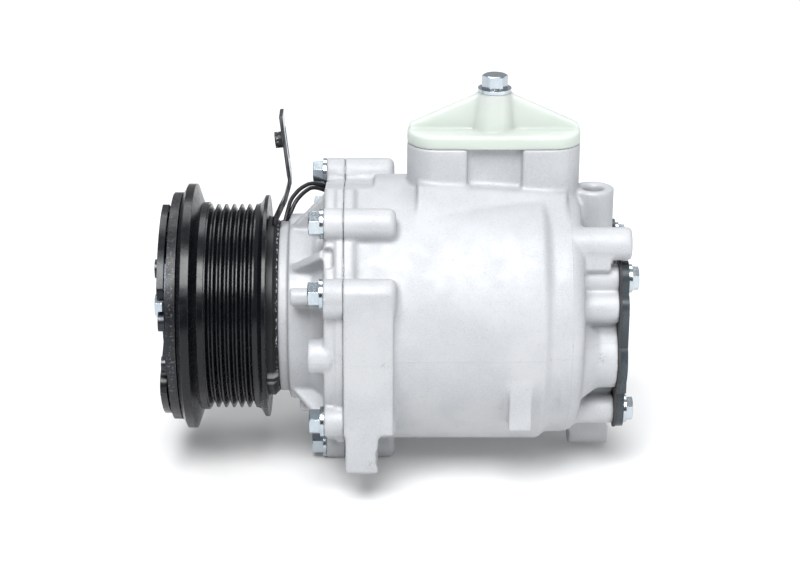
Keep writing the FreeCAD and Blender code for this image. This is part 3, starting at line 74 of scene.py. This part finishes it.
# ------------------------------------------------------------------ camera, floor and lights
AIM = Vector((62.7, 0, 12.25)) * MM
CAMERA_DISTANCE = 0.9606
ELEVATION = math.radians(21)
LENS_MM = 94.5
LENS_SHIFT = 0.036
FLOOR_HALF = 4.0
FLOOR_GAP = 0.2 * MM
FLOOR_PAINT = (0.74, 0.74, 0.74)
FLOOR_ROUGHNESS = 0.9
FLOOR_GLOW = 0.08
ROOM_COLOUR = (0.93, 0.965, 1.0)
ROOM_LEVELS = {"From Min": -0.9, "From Max": 0.5, "To Min": 0.04, "To Max": 0.42}


def look_from(thing, place):
    """Puts a camera or lamp at a place and points it at AIM."""
    thing.location = place
    thing.rotation_euler = (AIM - Vector(place)).to_track_quat("-Z", "Y").to_euler()


def linked(name, data):
    """A new object with that data, in the scene."""
    made = bpy.data.objects.new(name, data)
    bpy.context.scene.collection.objects.link(made)
    return made


def make_camera():
    """The photo's camera: square to the shaft and a little above it."""
    camera = linked("camera", bpy.data.cameras.new("camera"))
    camera.data.lens = LENS_MM
    camera.data.shift_x = LENS_SHIFT
    back = Vector((0, -math.cos(ELEVATION), math.sin(ELEVATION)))
    look_from(camera, AIM + back * CAMERA_DISTANCE)
    bpy.context.scene.camera = camera


def make_softbox(name, place, size, power):
    """A square area lamp that points at AIM."""
    lamp = linked(name, bpy.data.lights.new(name, "AREA"))
    lamp.data.size = size
    lamp.data.energy = power
    look_from(lamp, place)


def make_room():
    """A white room, dimmer towards the front and low down."""
    world = bpy.data.worlds.new("white_room")
    world.use_nodes = True
    nodes, links = world.node_tree.nodes, world.node_tree.links
    way = nodes.new("ShaderNodeSeparateXYZ")
    links.new(nodes.new("ShaderNodeTexCoord").outputs["Generated"], way.inputs[0])
    level = nodes.new("ShaderNodeMath")
    level.operation = "ADD"
    links.new(way.outputs["Y"], level.inputs[0])
    links.new(way.outputs["Z"], level.inputs[1])
    shade = nodes.new("ShaderNodeMapRange")
    shade.interpolation_type = "SMOOTHSTEP"
    links.new(level.outputs[0], shade.inputs["Value"])
    for name, number in ROOM_LEVELS.items():
        shade.inputs[name].default_value = number
    links.new(shade.outputs["Result"], nodes["Background"].inputs["Strength"])
    nodes["Background"].inputs["Color"].default_value = (*ROOM_COLOUR, 1)
    bpy.context.scene.world = world


def make_stage():
    """A wide pale floor under the lowest point, a white room and three softboxes."""
    height = cad_box[0].z - FLOOR_GAP
    corners = [(x * FLOOR_HALF, y * FLOOR_HALF, height) for x, y in ((-1, -1), (1, -1), (1, 1), (-1, 1))]
    mesh = bpy.data.meshes.new("floor")
    mesh.from_pydata(corners, [], [(0, 1, 2, 3)])
    floor = linked("floor", mesh)
    paint = bpy.data.materials.new("pale_floor")
    paint.use_nodes = True
    shader = paint.node_tree.nodes["Principled BSDF"]
    shader.inputs["Base Color"].default_value = (*FLOOR_PAINT, 1)
    shader.inputs["Roughness"].default_value = FLOOR_ROUGHNESS
    shader.inputs["Emission Color"].default_value = (1, 1, 1, 1)
    shader.inputs["Emission Strength"].default_value = FLOOR_GLOW
    mesh.materials.append(paint)
    make_room()
    make_softbox("key_softbox", (-0.3, -1.8, 2.5), 1.7, 134.0)
    make_softbox("top_softbox", (0.1, 1.0, 1.8), 1.0, 14.0)
    make_softbox("fill_softbox", (0.9, -0.6, 0.2), 0.6, 2.2)
    bpy.context.scene.view_settings.view_transform = "Standard"


# ------------------------------------------------------------------ materials
class Look:
    """A procedural material: a Principled shader and the nodes that feed it."""

    def __init__(self, name, roughness, metallic=0.0, **sockets):
        self.material = bpy.data.materials.new(name + "_look")
        self.material.use_nodes = True
        self.tree = self.material.node_tree
        self.shader = self.tree.nodes["Principled BSDF"]
        self.place = self.add("ShaderNodeTexCoord").outputs["Object"]
        self.normal = None
        self.put("Metallic", metallic)
        self.put("Roughness", roughness)
        for socket, value in sockets.items():
            self.put(socket.replace("_", " "), value)

    def add(self, kind, **settings):
        """A new node of that kind, with its settings."""
        node = self.tree.nodes.new(kind)
        for name, value in settings.items():
            setattr(node, name, value)
        return node

    def feed(self, socket, value):
        """Links a node's output to a socket, or sets a plain value on it."""
        if isinstance(value, bpy.types.NodeSocket):
            self.tree.links.new(value, socket)
        elif isinstance(value, tuple) and len(value) == 3 and len(socket.default_value) == 4:
            socket.default_value = (*value, 1)
        else:
            socket.default_value = value

    def put(self, name, value):
        """Feeds a socket of the Principled shader."""
        self.feed(self.shader.inputs[name], value)

    def noise(self, scale, detail=3.0, stretch=(1, 1, 1)):
        """Noise from 0 to 1 with about `scale` features in a metre, along each axis by stretch."""
        place = self.place
        if stretch != (1, 1, 1):
            mapping = self.add("ShaderNodeMapping")
            self.feed(mapping.inputs["Vector"], place)
            self.feed(mapping.inputs["Scale"], stretch)
            place = mapping.outputs["Vector"]
        node = self.add("ShaderNodeTexNoise")
        self.feed(node.inputs["Vector"], place)
        self.feed(node.inputs["Scale"], float(scale))
        self.feed(node.inputs["Detail"], detail)
        return node.outputs["Fac"]

    def spread(self, value, low, high, to_low=0.0, to_high=1.0):
        """Maps low..high to to_low..to_high, smoothly, and holds beyond."""
        node = self.add("ShaderNodeMapRange", interpolation_type="SMOOTHSTEP")
        for name, number in zip(("Value", "From Min", "From Max", "To Min", "To Max"),
                                (value, low, high, to_low, to_high)):
            self.feed(node.inputs[name], number)
        return node.outputs["Result"]

    def math(self, operation, a, b=0.0):
        """One sum on two values or outputs."""
        node = self.add("ShaderNodeMath", operation=operation)
        self.feed(node.inputs[0], a)
        self.feed(node.inputs[1], b)
        return node.outputs[0]

    def mix(self, share, a, b):
        """Colour a where share is 0, and colour b where it is 1."""
        node = self.add("ShaderNodeMix", data_type="RGBA")
        self.feed(node.inputs["Factor"], share)
        self.feed(node.inputs[6], a)
        self.feed(node.inputs[7], b)
        return node.outputs[2]

    def axis(self, name):
        """The place along an axis, in metres."""
        split = self.add("ShaderNodeSeparateXYZ")
        self.feed(split.inputs[0], self.place)
        return split.outputs[name]

    def facing(self, name):
        """The surface's own normal along an axis, from -1 to 1."""
        split = self.add("ShaderNodeSeparateXYZ")
        self.feed(split.inputs[0], self.add("ShaderNodeTexCoord").outputs["Normal"])
        return split.outputs[name]

    def line(self, value, centre, half):
        """1 on the line value = centre, falling to 0 at half a line's width from it."""
        away = self.math("ABSOLUTE", self.math("SUBTRACT", value, centre))
        return self.spread(away, 0.0, half, 1.0, 0.0)

    def spot(self, centre, radius):
        """1 at a point, falling to 0 at a radius."""
        node = self.add("ShaderNodeVectorMath", operation="DISTANCE")
        self.feed(node.inputs[0], self.place)
        self.feed(node.inputs[1], tuple(centre))
        return self.spread(node.outputs["Value"], radius * 0.2, radius, 1.0, 0.0)

    def rounded(self, radius):
        """Rounds the look of sharp edges by a radius."""
        node = self.add("ShaderNodeBevel", samples=4)
        self.feed(node.inputs["Radius"], radius)
        self.normal = node.outputs["Normal"]

    def edges(self, radius):
        """1 along sharp edges and 0 elsewhere, for edge wear and for painted edge light and shade."""
        node = self.add("ShaderNodeBevel", samples=4)
        self.feed(node.inputs["Radius"], radius)
        dot = self.add("ShaderNodeVectorMath", operation="DOT_PRODUCT")
        self.feed(dot.inputs[0], node.outputs["Normal"])
        self.feed(dot.inputs[1], self.add("ShaderNodeNewGeometry").outputs["Normal"])
        return self.spread(dot.outputs["Value"], 0.8, 0.99, 1.0, 0.0)

    def relief(self, height, distance, strength=1.0):
        """Adds a bump of that height pattern over what is there."""
        node = self.add("ShaderNodeBump")
        self.feed(node.inputs["Strength"], strength)
        self.feed(node.inputs["Distance"], distance)
        self.feed(node.inputs["Height"], height)
        if self.normal is not None:
            self.feed(node.inputs["Normal"], self.normal)
        self.normal = node.outputs["Normal"]

    def done(self):
        """Links the normal and gives the finished material."""
        if self.normal is not None:
            self.put("Normal", self.normal)
        return self.material


PARTING_X, PARTING_Z = 150.2 * MM, -2.4 * MM
HANDLING_MARKS = [((165, -43, -8), 3.6), ((68.5, -65.3, -2.4), 2.6),
                  ((63, -66, -50), 3.5), ((150, -54, 8), 1.8)]


def cast_look(name):
    """Bead-blasted cast aluminium: fine grain, soft blotches, faint parting lines, a few handling marks."""
    look = Look(name, 0.56, 0.25, IOR=1.45)
    grain = look.noise(2600, 2.0)
    blotch = look.noise(38, 4.0)
    speck = look.noise(900, 2.0)
    colour = look.mix(look.spread(blotch, 0.35, 0.68), (0.40, 0.412, 0.432), (0.47, 0.48, 0.497))
    colour = look.mix(look.spread(grain, 0.3, 0.72, 0.0, 0.5), colour, (0.56, 0.57, 0.585))
    colour = look.mix(look.spread(speck, 0.62, 0.72, 0.0, 0.22), colour, (0.26, 0.265, 0.28))
    for centre, radius in HANDLING_MARKS:
        patch = look.math("MULTIPLY", look.spot(Vector(centre) * MM, radius * MM),
                          look.spread(look.noise(1400, 3.0), 0.5, 0.62))
        colour = look.mix(look.math("MULTIPLY", patch, 0.7), colour, (0.27, 0.26, 0.25))
    along, up = look.axis("X"), look.axis("Z")
    seam = look.math("MAXIMUM", look.line(along, PARTING_X, 0.35 * MM), look.line(up, PARTING_Z, 0.35 * MM))
    colour = look.mix(look.math("MULTIPLY", seam, 0.3), colour, (0.4, 0.41, 0.43))
    look.put("Base Color", colour)
    look.put("Roughness", look.spread(look.noise(160, 3.0), 0.3, 0.7, 0.55, 0.66))
    look.relief(seam, 0.12 * MM, 0.6)
    look.relief(look.noise(240, 3.0), 0.16 * MM, 0.5)
    look.relief(grain, 0.05 * MM, 0.75)
    return look.done()


def metal_look(name, colour, roughness, line_scale, lines=(1, 0.02, 0.02), bright=None, tint=None,
               edge=0.25):
    """Worked metal: fine tool lines, roughness that varies along them, and edges recoloured as wear and as
    painted edge light.
    """
    look = Look(name, roughness, 1.0)
    rub = look.noise(line_scale, 3.0, lines)
    stain = look.noise(70, 4.0)
    shade = look.mix(look.spread(stain, 0.35, 0.7), colour, tint or tuple(c * 0.82 for c in colour))
    shade = look.mix(look.spread(rub, 0.3, 0.7, 0.0, 0.25), shade, tuple(c * 0.75 for c in colour))
    # Edge colour: wear plus painted edge light; where it is darker than the metal, as on zinc steel, it is
    # a painted dark outline.
    edge_shading_and_wear = look.edges(0.25 * MM)
    look.put("Base Color", look.mix(look.math("MULTIPLY", edge_shading_and_wear, 0.6), shade,
                                    bright or tuple(min(1.0, c * 1.25) for c in colour)))
    look.put("Roughness", look.spread(rub, 0.25, 0.75, roughness * 0.8, roughness * 1.25))
    look.rounded(edge * MM)
    look.relief(rub, 0.02 * MM, 0.35)
    return look.done()


# Share of the edge colour laid on the coats: painted highlight and rubbed wear together.
EDGE_SHADING_AND_WEAR = 0.35


def coat_look(name, colour, roughness, bright, peel=700, peel_depth=0.03, speckle=None, turned=0.0):
    """A dark coat on steel: orange-peel surface, edges lightened as rubbed wear and as painted highlight,
    and light speckles where asked.
    """
    look = Look(name, roughness, 0.0, Specular_IOR_Level=0.3)
    cloud = look.noise(45, 4.0)
    base = look.mix(look.spread(cloud, 0.3, 0.7), colour, tuple(c * 1.7 for c in colour))
    edges = look.edges(0.3 * MM)
    # Lighter edges: partly rubbed wear, partly a painted highlight, as along the pulley's groove crests.
    edge_shading_and_wear = look.math("MULTIPLY", edges, look.spread(look.noise(350, 3.0), 0.3, 0.6, 0.3, 1.0))
    base = look.mix(look.math("MULTIPLY", edge_shading_and_wear, EDGE_SHADING_AND_WEAR), base, bright)
    if speckle:
        dots = look.spread(look.noise(1500, 2.5), 0.58, 0.68)
        dots = look.math("MULTIPLY", dots, look.spread(cloud, 0.35, 0.65, 0.25, 0.9))
        base = look.mix(dots, base, speckle)
    look.put("Base Color", base)
    look.put("Roughness", look.spread(look.noise(260, 3.0), 0.3, 0.7, roughness * 0.82, roughness * 1.2))
    look.rounded(0.3 * MM)
    look.relief(look.noise(peel, 2.0), peel_depth * MM, 0.5)
    if turned:
        look.relief(look.noise(2600, 2.0, (1, 0.015, 0.015)), turned * MM, 0.5)
    return look.done()


# Centre and radius of a lighter grey patch on the coil shell's black coat.
LIGHT_GREY_PATCH, LIGHT_GREY_RADIUS = Vector((18, -34.4, -22)) * MM, 7 * MM
COIL_SLOT_Z, COIL_REAR_X = -22.6 * MM, 21.0 * MM


def coil_look(name):
    """The coil shell's black coat, with a lighter grey patch beside its slot, and chips at the rear edge.
    """
    look = Look(name, 0.4, 0.0, Specular_IOR_Level=0.3)
    cloud = look.noise(45, 4.0)
    base = look.mix(look.spread(cloud, 0.3, 0.7), (0.009, 0.010, 0.012), (0.016, 0.018, 0.02))
    light_grey = look.spot(LIGHT_GREY_PATCH, LIGHT_GREY_RADIUS)
    slot = look.line(look.axis("Z"), COIL_SLOT_Z, 1.6 * MM)
    patch = look.math("MULTIPLY", look.math("SUBTRACT", light_grey, look.math("MULTIPLY", slot, 2.0)), 0.8)
    base = look.mix(look.spread(patch, 0.1, 0.8), base, (0.42, 0.43, 0.45))
    chips = look.math("MULTIPLY", look.line(look.axis("X"), COIL_REAR_X, 1.0 * MM),
                      look.spread(look.noise(800, 2.0), 0.56, 0.66))
    look.put("Base Color", look.mix(chips, base, (0.6, 0.61, 0.62)))
    look.rounded(0.3 * MM)
    look.relief(look.noise(700, 2.0), 0.04 * MM, 0.5)
    return look.done()


def moulded_look(name, colour, roughness, grain=900, depth=0.03, **sockets):
    """Rubber, nylon or plastic with a fine moulded grain."""
    look = Look(name, roughness, 0.0, **sockets)
    cloud = look.noise(60, 3.0)
    lighter = tuple(min(1, c * 1.35) for c in colour)
    look.put("Base Color", look.mix(look.spread(cloud, 0.3, 0.7), colour, lighter))
    look.put("Roughness", look.spread(look.noise(grain, 2.0), 0.3, 0.7, roughness * 0.88, roughness * 1.1))
    look.rounded(0.25 * MM)
    look.relief(look.noise(grain, 2.0), depth * MM, 0.5)
    return look.done()


CAP_LOW_Z, CAP_HIGH_Z = 79 * MM, 100 * MM


def cap_look(name):
    """Milky polypropylene, pale green where it is thick, with faint flow marks."""
    look = Look(name, 0.36, 0.0, Subsurface_Weight=0.85, Subsurface_Scale=0.006, Transmission_Weight=0.12,
                IOR=1.49, Specular_IOR_Level=0.45)
    look.put("Subsurface Radius", (0.9, 1.0, 0.9))
    height = look.spread(look.axis("Z"), CAP_LOW_Z, CAP_HIGH_Z)
    colour = look.mix(height, (0.56, 0.62, 0.57), (0.59, 0.625, 0.595))
    flow = look.noise(60, 3.0, (0.3, 1, 1))
    look.put("Base Color", look.mix(look.spread(flow, 0.4, 0.7, 0.0, 0.4), colour, (0.63, 0.66, 0.635)))
    look.put("Roughness", look.spread(look.noise(200, 3.0), 0.3, 0.7, 0.30, 0.44))
    look.relief(look.noise(420, 2.0), 0.03 * MM, 0.4)
    return look.done()


def bracket_look(name):
    """Plated strip: dark on its front face and bright zinc on its rear face, set by which way each face
    points: painted shade and painted light.
    """
    look = Look(name, 0.3, 1.0)
    # rear picks faces pointing +X, painted light as bright zinc; dark is the painted shade on the front
    # faces.
    rear = look.spread(look.facing("X"), 0.2, 0.6)
    rub = look.noise(900, 3.0, (1, 1, 0.1))
    dark = look.mix(look.spread(rub, 0.4, 0.62), (0.035, 0.037, 0.042), (0.12, 0.125, 0.135))
    look.put("Base Color", look.mix(rear, dark, (0.72, 0.74, 0.77)))
    look.put("Roughness", look.spread(rub, 0.3, 0.7, 0.24, 0.4))
    look.rounded(0.3 * MM)
    look.relief(rub, 0.03 * MM, 0.4)
    return look.done()


WINDING_ROWS = 260.0


def winding_look(name):
    """Varnished copper wire, wound in rows round the axis, with painted shade in the creases between the
    rows.
    """
    look = Look(name, 0.3, 0.6, Coat_Weight=0.6, Coat_Roughness=0.15)
    wave = look.add("ShaderNodeTexWave", bands_direction="X", wave_profile="SIN")
    look.feed(wave.inputs["Vector"], look.place)
    look.feed(wave.inputs["Scale"], WINDING_ROWS)
    rows = wave.outputs["Fac"]
    # Dark brown between the rows: painted shade in the creases between the turns.
    look.put("Base Color", look.mix(rows, (0.16, 0.055, 0.02), (0.55, 0.24, 0.10)))
    look.relief(rows, 0.3 * MM, 0.8)
    return look.done()


# Each bright colour is painted on the metal's edges, as wear and as painted edge light.
METALS = {
    "machined_aluminium": dict(colour=(0.76, 0.77, 0.78), roughness=0.3, line_scale=3000),
    # zinc_steel's edge colour is darker than the zinc: painted shade, a dark outline along its edges.
    "zinc_steel": dict(colour=(0.55, 0.60, 0.64), roughness=0.2, line_scale=1200, lines=(1, 0.3, 0.3),
                       bright=(0.22, 0.25, 0.28), tint=(0.45, 0.52, 0.58), edge=0.35),
    # Thread turns: aluminium painted dark, as the shade inside the tapped holes.
    "thread_aluminium": dict(colour=(0.16, 0.165, 0.175), roughness=0.32, line_scale=3000),
    "bright_steel": dict(colour=(0.68, 0.69, 0.70), roughness=0.16, line_scale=5000),
    "machined_steel": dict(colour=(0.56, 0.57, 0.58), roughness=0.26, line_scale=3500),
    "shield_steel": dict(colour=(0.48, 0.49, 0.51), roughness=0.34, line_scale=900),
    "spring_steel": dict(colour=(0.26, 0.28, 0.32), roughness=0.3, line_scale=1800,
                         tint=(0.16, 0.18, 0.24)),
    "leaf_steel": dict(colour=(0.045, 0.05, 0.06), roughness=0.34, line_scale=1500, lines=(0.1, 1, 1),
                       tint=(0.03, 0.035, 0.05), bright=(0.2, 0.21, 0.24)),
    "dark_rivet": dict(colour=(0.06, 0.064, 0.072), roughness=0.34, line_scale=900, lines=(1, 1, 1),
                       bright=(0.3, 0.31, 0.33)),
    "cast_iron": dict(colour=(0.2, 0.2, 0.205), roughness=0.55, line_scale=700, lines=(1, 1, 1)),
}
COATS = {
    # The bright colours go on the edges as painted highlights with some wear; on black_pulley they are
    # highlight lines on the groove crests.
    "black_pulley": dict(colour=(0.003, 0.0036, 0.0046), roughness=0.24, bright=(0.10, 0.115, 0.13),
                         turned=0.02),
    "black_hub": dict(colour=(0.004, 0.005, 0.0065), roughness=0.26, bright=(0.10, 0.11, 0.13)),
    "black_cover": dict(colour=(0.030, 0.038, 0.045), roughness=0.3, bright=(0.16, 0.18, 0.2),
                        peel=420, peel_depth=0.06),
    "armature_black": dict(colour=(0.008, 0.009, 0.011), roughness=0.36, bright=(0.16, 0.165, 0.17),
                           peel=900, peel_depth=0.05, speckle=(0.20, 0.20, 0.205)),
}
MOULDED = {
    "seal_rubber": dict(colour=(0.012, 0.012, 0.012), roughness=0.55),
    "gasket": dict(colour=(0.03, 0.03, 0.032), roughness=0.7, grain=500, depth=0.06),
    "wire_insulation": dict(colour=(0.012, 0.012, 0.013), roughness=0.38, grain=500, depth=0.04),
    "black_plastic": dict(colour=(0.014, 0.014, 0.015), roughness=0.46, grain=1300),
    "seal_polymer": dict(colour=(0.16, 0.13, 0.09), roughness=0.5, grain=600),
    "cage_nylon": dict(colour=(0.55, 0.48, 0.33), roughness=0.45, grain=500, Subsurface_Weight=0.2,
                       Subsurface_Scale=0.002),
}
SPECIAL = {
    "cast_aluminium": cast_look,
    "bracket_steel": bracket_look,
    "black_steel": coil_look,
    "winding": winding_look,
    "cap_plastic": cap_look,
}


def make_looks():
    """One material for each material slot of the record, and one for the thread turns, painted dark as
    shade.
    """
    looks = {name: make(name) for name, make in SPECIAL.items()}
    for make, table in ((metal_look, METALS), (coat_look, COATS), (moulded_look, MOULDED)):
        looks.update({name: make(name, **settings) for name, settings in table.items()})
    return looks


# ------------------------------------------------------------------ soft-edged castings
FRONT_VOXEL, FRONT_ROUNDS = 0.75 * MM, 3
MAIN_VOXEL, MAIN_ROUNDS = 0.85 * MM, 4
CAP_VOXEL, CAP_ROUNDS = 0.6 * MM, 12
TRUE_REACH = 1.6 * MM       # machined faces and bores hold their place, fading out this far away
MACHINED_SKIN = 0.22 * MM
CAP_SEAT_REACH = 1.5 * MM
DOWEL_PLUG_DEPTH = 2.4 * MM
DOWEL_PLUG_PLACE = 0.5 * MM
DOWEL_PLUG_SLACK = 0.15 * MM


def points_of(mesh):
    """The mesh's points, as rows of x, y and z."""
    places = np.empty(len(mesh.vertices) * 3, np.float32)
    mesh.vertices.foreach_get("co", places)
    return places.reshape(-1, 3).astype(float)


def close_dowel_ends(mesh):
    """Closes the ends of the front dowel holes, where they come through the rim's step."""
    low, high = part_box("dowel_pins")
    radius = (high.z - low.z) / 2
    plug_radius = radius - DOWEL_PLUG_SLACK
    along_x = Matrix.Rotation(math.pi / 2, 4, "Y")
    shape = bmesh.new()
    shape.from_mesh(mesh)
    for y in (low.y + radius, high.y - radius):
        place = Matrix.Translation((low.x + DOWEL_PLUG_PLACE, y, 0)) @ along_x
        bmesh.ops.create_cone(shape, cap_ends=True, segments=24, depth=DOWEL_PLUG_DEPTH, matrix=place,
                              radius1=plug_radius, radius2=plug_radius)
    shape.to_mesh(mesh)
    shape.free()


def rebuilt(node, voxel):
    """A closed, evenly meshed copy of a CAD node's shape."""
    raw = linked(node + "_raw", NODES[node].data.copy())
    if node == "front_housing":
        close_dowel_ends(raw.data)
    weld = raw.modifiers.new("weld", "WELD")
    weld.merge_threshold = 0.001 * MM
    remesh = raw.modifiers.new("remesh", "REMESH")
    remesh.mode = "VOXEL"
    remesh.voxel_size = voxel
    remesh.use_smooth_shade = True
    shape = raw.evaluated_get(bpy.context.evaluated_depsgraph_get())
    mesh = bpy.data.meshes.new_from_object(shape)
    bpy.data.objects.remove(raw)
    return mesh


def smoothed(mesh, rounds, give):
    """Relaxes each point towards its neighbours, as far as give (0 to 1 a point) lets it."""
    pairs = np.empty(len(mesh.edges) * 2, np.int32)
    mesh.edges.foreach_get("vertices", pairs)
    a, b = pairs[0::2], pairs[1::2]
    count = len(mesh.vertices)
    valence = np.bincount(a, minlength=count) + np.bincount(b, minlength=count)
    places = points_of(mesh)
    for _ in range(rounds):
        for k in range(3):
            total = np.bincount(a, places[b, k], count) + np.bincount(b, places[a, k], count)
            places[:, k] += 0.5 * give * (total / np.maximum(valence, 1) - places[:, k])
    mesh.vertices.foreach_set("co", places.astype(np.float32).ravel())
    mesh.update()


def near_bores(places, reach):
    """How far each point is from the walls of the record's bores and threads, up to reach."""
    away = np.full(len(places), reach)
    for mount in MOUNTS.values():
        radius = mount["dims"].get("r_mm")
        if not radius:
            continue
        axis = np.array(mount["axis"], float)
        offset = places - np.array(mount["pos_m"], float)
        along = offset @ axis
        across = np.linalg.norm(offset - along[:, None] * axis, axis=1)
        inside = np.abs(along) < mount["dims"]["length_mm"] * MM / 2 + reach
        away[inside] = np.minimum(away[inside], np.abs(across[inside] - radius * MM))
    return away


def near_planes(places, planes, reach):
    """How far each point is from the nearest of some planes, given as (axis number, place)."""
    away = np.full(len(places), reach)
    for k, place in planes:
        away = np.minimum(away, np.abs(places[:, k] - place))
    return away


def make_casting(node, planes, voxel, rounds, looks):
    """The casting of a CAD node: soft fillets and corners, but true machined faces and bores."""
    mesh = rebuilt(node, voxel)
    places = points_of(mesh)
    away = np.minimum(near_bores(places, TRUE_REACH), near_planes(places, planes, TRUE_REACH))
    smoothed(mesh, rounds, np.clip(away / TRUE_REACH, 0.12, 1.0))
    mesh.materials.clear()
    mesh.materials.append(looks["cast_aluminium"])
    mesh.materials.append(looks["machined_aluminium"])
    centres = np.empty(len(mesh.polygons) * 3, np.float32)
    mesh.polygons.foreach_get("center", centres)
    centres = centres.reshape(-1, 3).astype(float)
    machined = near_planes(centres, planes, TRUE_REACH) < MACHINED_SKIN
    mesh.polygons.foreach_set("material_index", machined.astype(np.int32))
    mesh.update()
    piece = linked(node + "_casting", mesh)
    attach(piece, "root")
    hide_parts(node)


def make_castings(looks):
    """Both housings, each with its machined planes."""
    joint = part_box("main_housing")[0].x
    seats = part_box("front_housing")[1].x
    front = [(0, joint), (0, seats)]
    rear = [(0, joint), (0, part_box("rear_gasket")[0].x), (2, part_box("main_housing")[1].z)]
    make_casting("front_housing", front, FRONT_VOXEL, FRONT_ROUNDS, looks)
    make_casting("main_housing", rear, MAIN_VOXEL, MAIN_ROUNDS, looks)


def make_cap(looks):
    """The moulded shipping cap, with soft edges and a fillet round its post."""
    mesh = rebuilt("shipping_cap", CAP_VOXEL)
    places = points_of(mesh)
    seat = near_planes(places, [(2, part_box("shipping_cap")[0].z)], CAP_SEAT_REACH)
    smoothed(mesh, CAP_ROUNDS, np.clip(seat / CAP_SEAT_REACH, 0.15, 1.0))
    mesh.materials.clear()
    mesh.materials.append(looks["cap_plastic"])
    piece = linked("shipping_cap_moulding", mesh)
    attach(piece, "cap")
    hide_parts("shipping_cap")


# ------------------------------------------------------------------ threads in the tapped holes
TURN_STEPS = 40
THREAD_SINK = 0.1 * MM
THREAD_DEPTH = 0.55         # as a share of the pitch
COARSE_PITCH, FINE_PITCH = 1.5 * MM, 1.25 * MM


def make_thread(mount_name, pitch, looks):
    """The cut thread of a tapped hole: a helical ridge on the wall of its bore."""
    mount = MOUNTS[mount_name]
    axis = Vector(mount["axis"])
    radius = mount["dims"]["r_mm"] * MM
    depth = mount["dims"]["length_mm"] * MM
    side = axis.orthogonal().normalized()
    other = axis.cross(side)
    middle = Vector(mount["pos_m"])
    turns = int(depth / pitch) - 2
    root = radius - THREAD_SINK
    crest = root - THREAD_DEPTH * pitch
    profile = [(0.0, root), (0.42, crest), (0.58, crest), (1.0, root)]
    points, faces = [], []
    for i in range(turns * TURN_STEPS + 1):
        angle = math.tau * i / TURN_STEPS
        outward = side * math.cos(angle) + other * math.sin(angle)
        for share, r in profile:
            height = (i / TURN_STEPS + share + 0.5) * pitch - depth / 2
            points.append(middle + outward * r + axis * height)
    width = len(profile)
    for i in range(turns * TURN_STEPS):
        for k in range(width - 1):
            low = i * width + k
            faces.append((low, low + 1, low + width + 1, low + width))
    mesh = bpy.data.meshes.new(mount_name)
    mesh.from_pydata(points, [], faces)
    # Painted shade: the thread turns are dark aluminium.
    mesh.materials.append(looks["thread_aluminium"])
    mesh.shade_smooth()
    piece = linked(mount_name + "_turns", mesh)
    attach(piece, "root")


# ------------------------------------------------------------------ the whole object
def dress_nodes(looks):
    """Gives each CAD node the material of its slot."""
    for node in NODES.values():
        for slot in node.material_slots:
            slot.material = looks[slot.material.name.split(".")[0]]


def main():
    """Stage, materials and the rebuilt pieces, in that order."""
    make_camera()
    make_stage()
    looks = make_looks()
    dress_nodes(looks)
    make_castings(looks)
    make_cap(looks)
    make_thread("top_bracket_thread", COARSE_PITCH, looks)
    make_thread("rear_bracket_thread", FINE_PITCH, looks)
    make_thread("rear_lug_thread", FINE_PITCH, looks)


main()
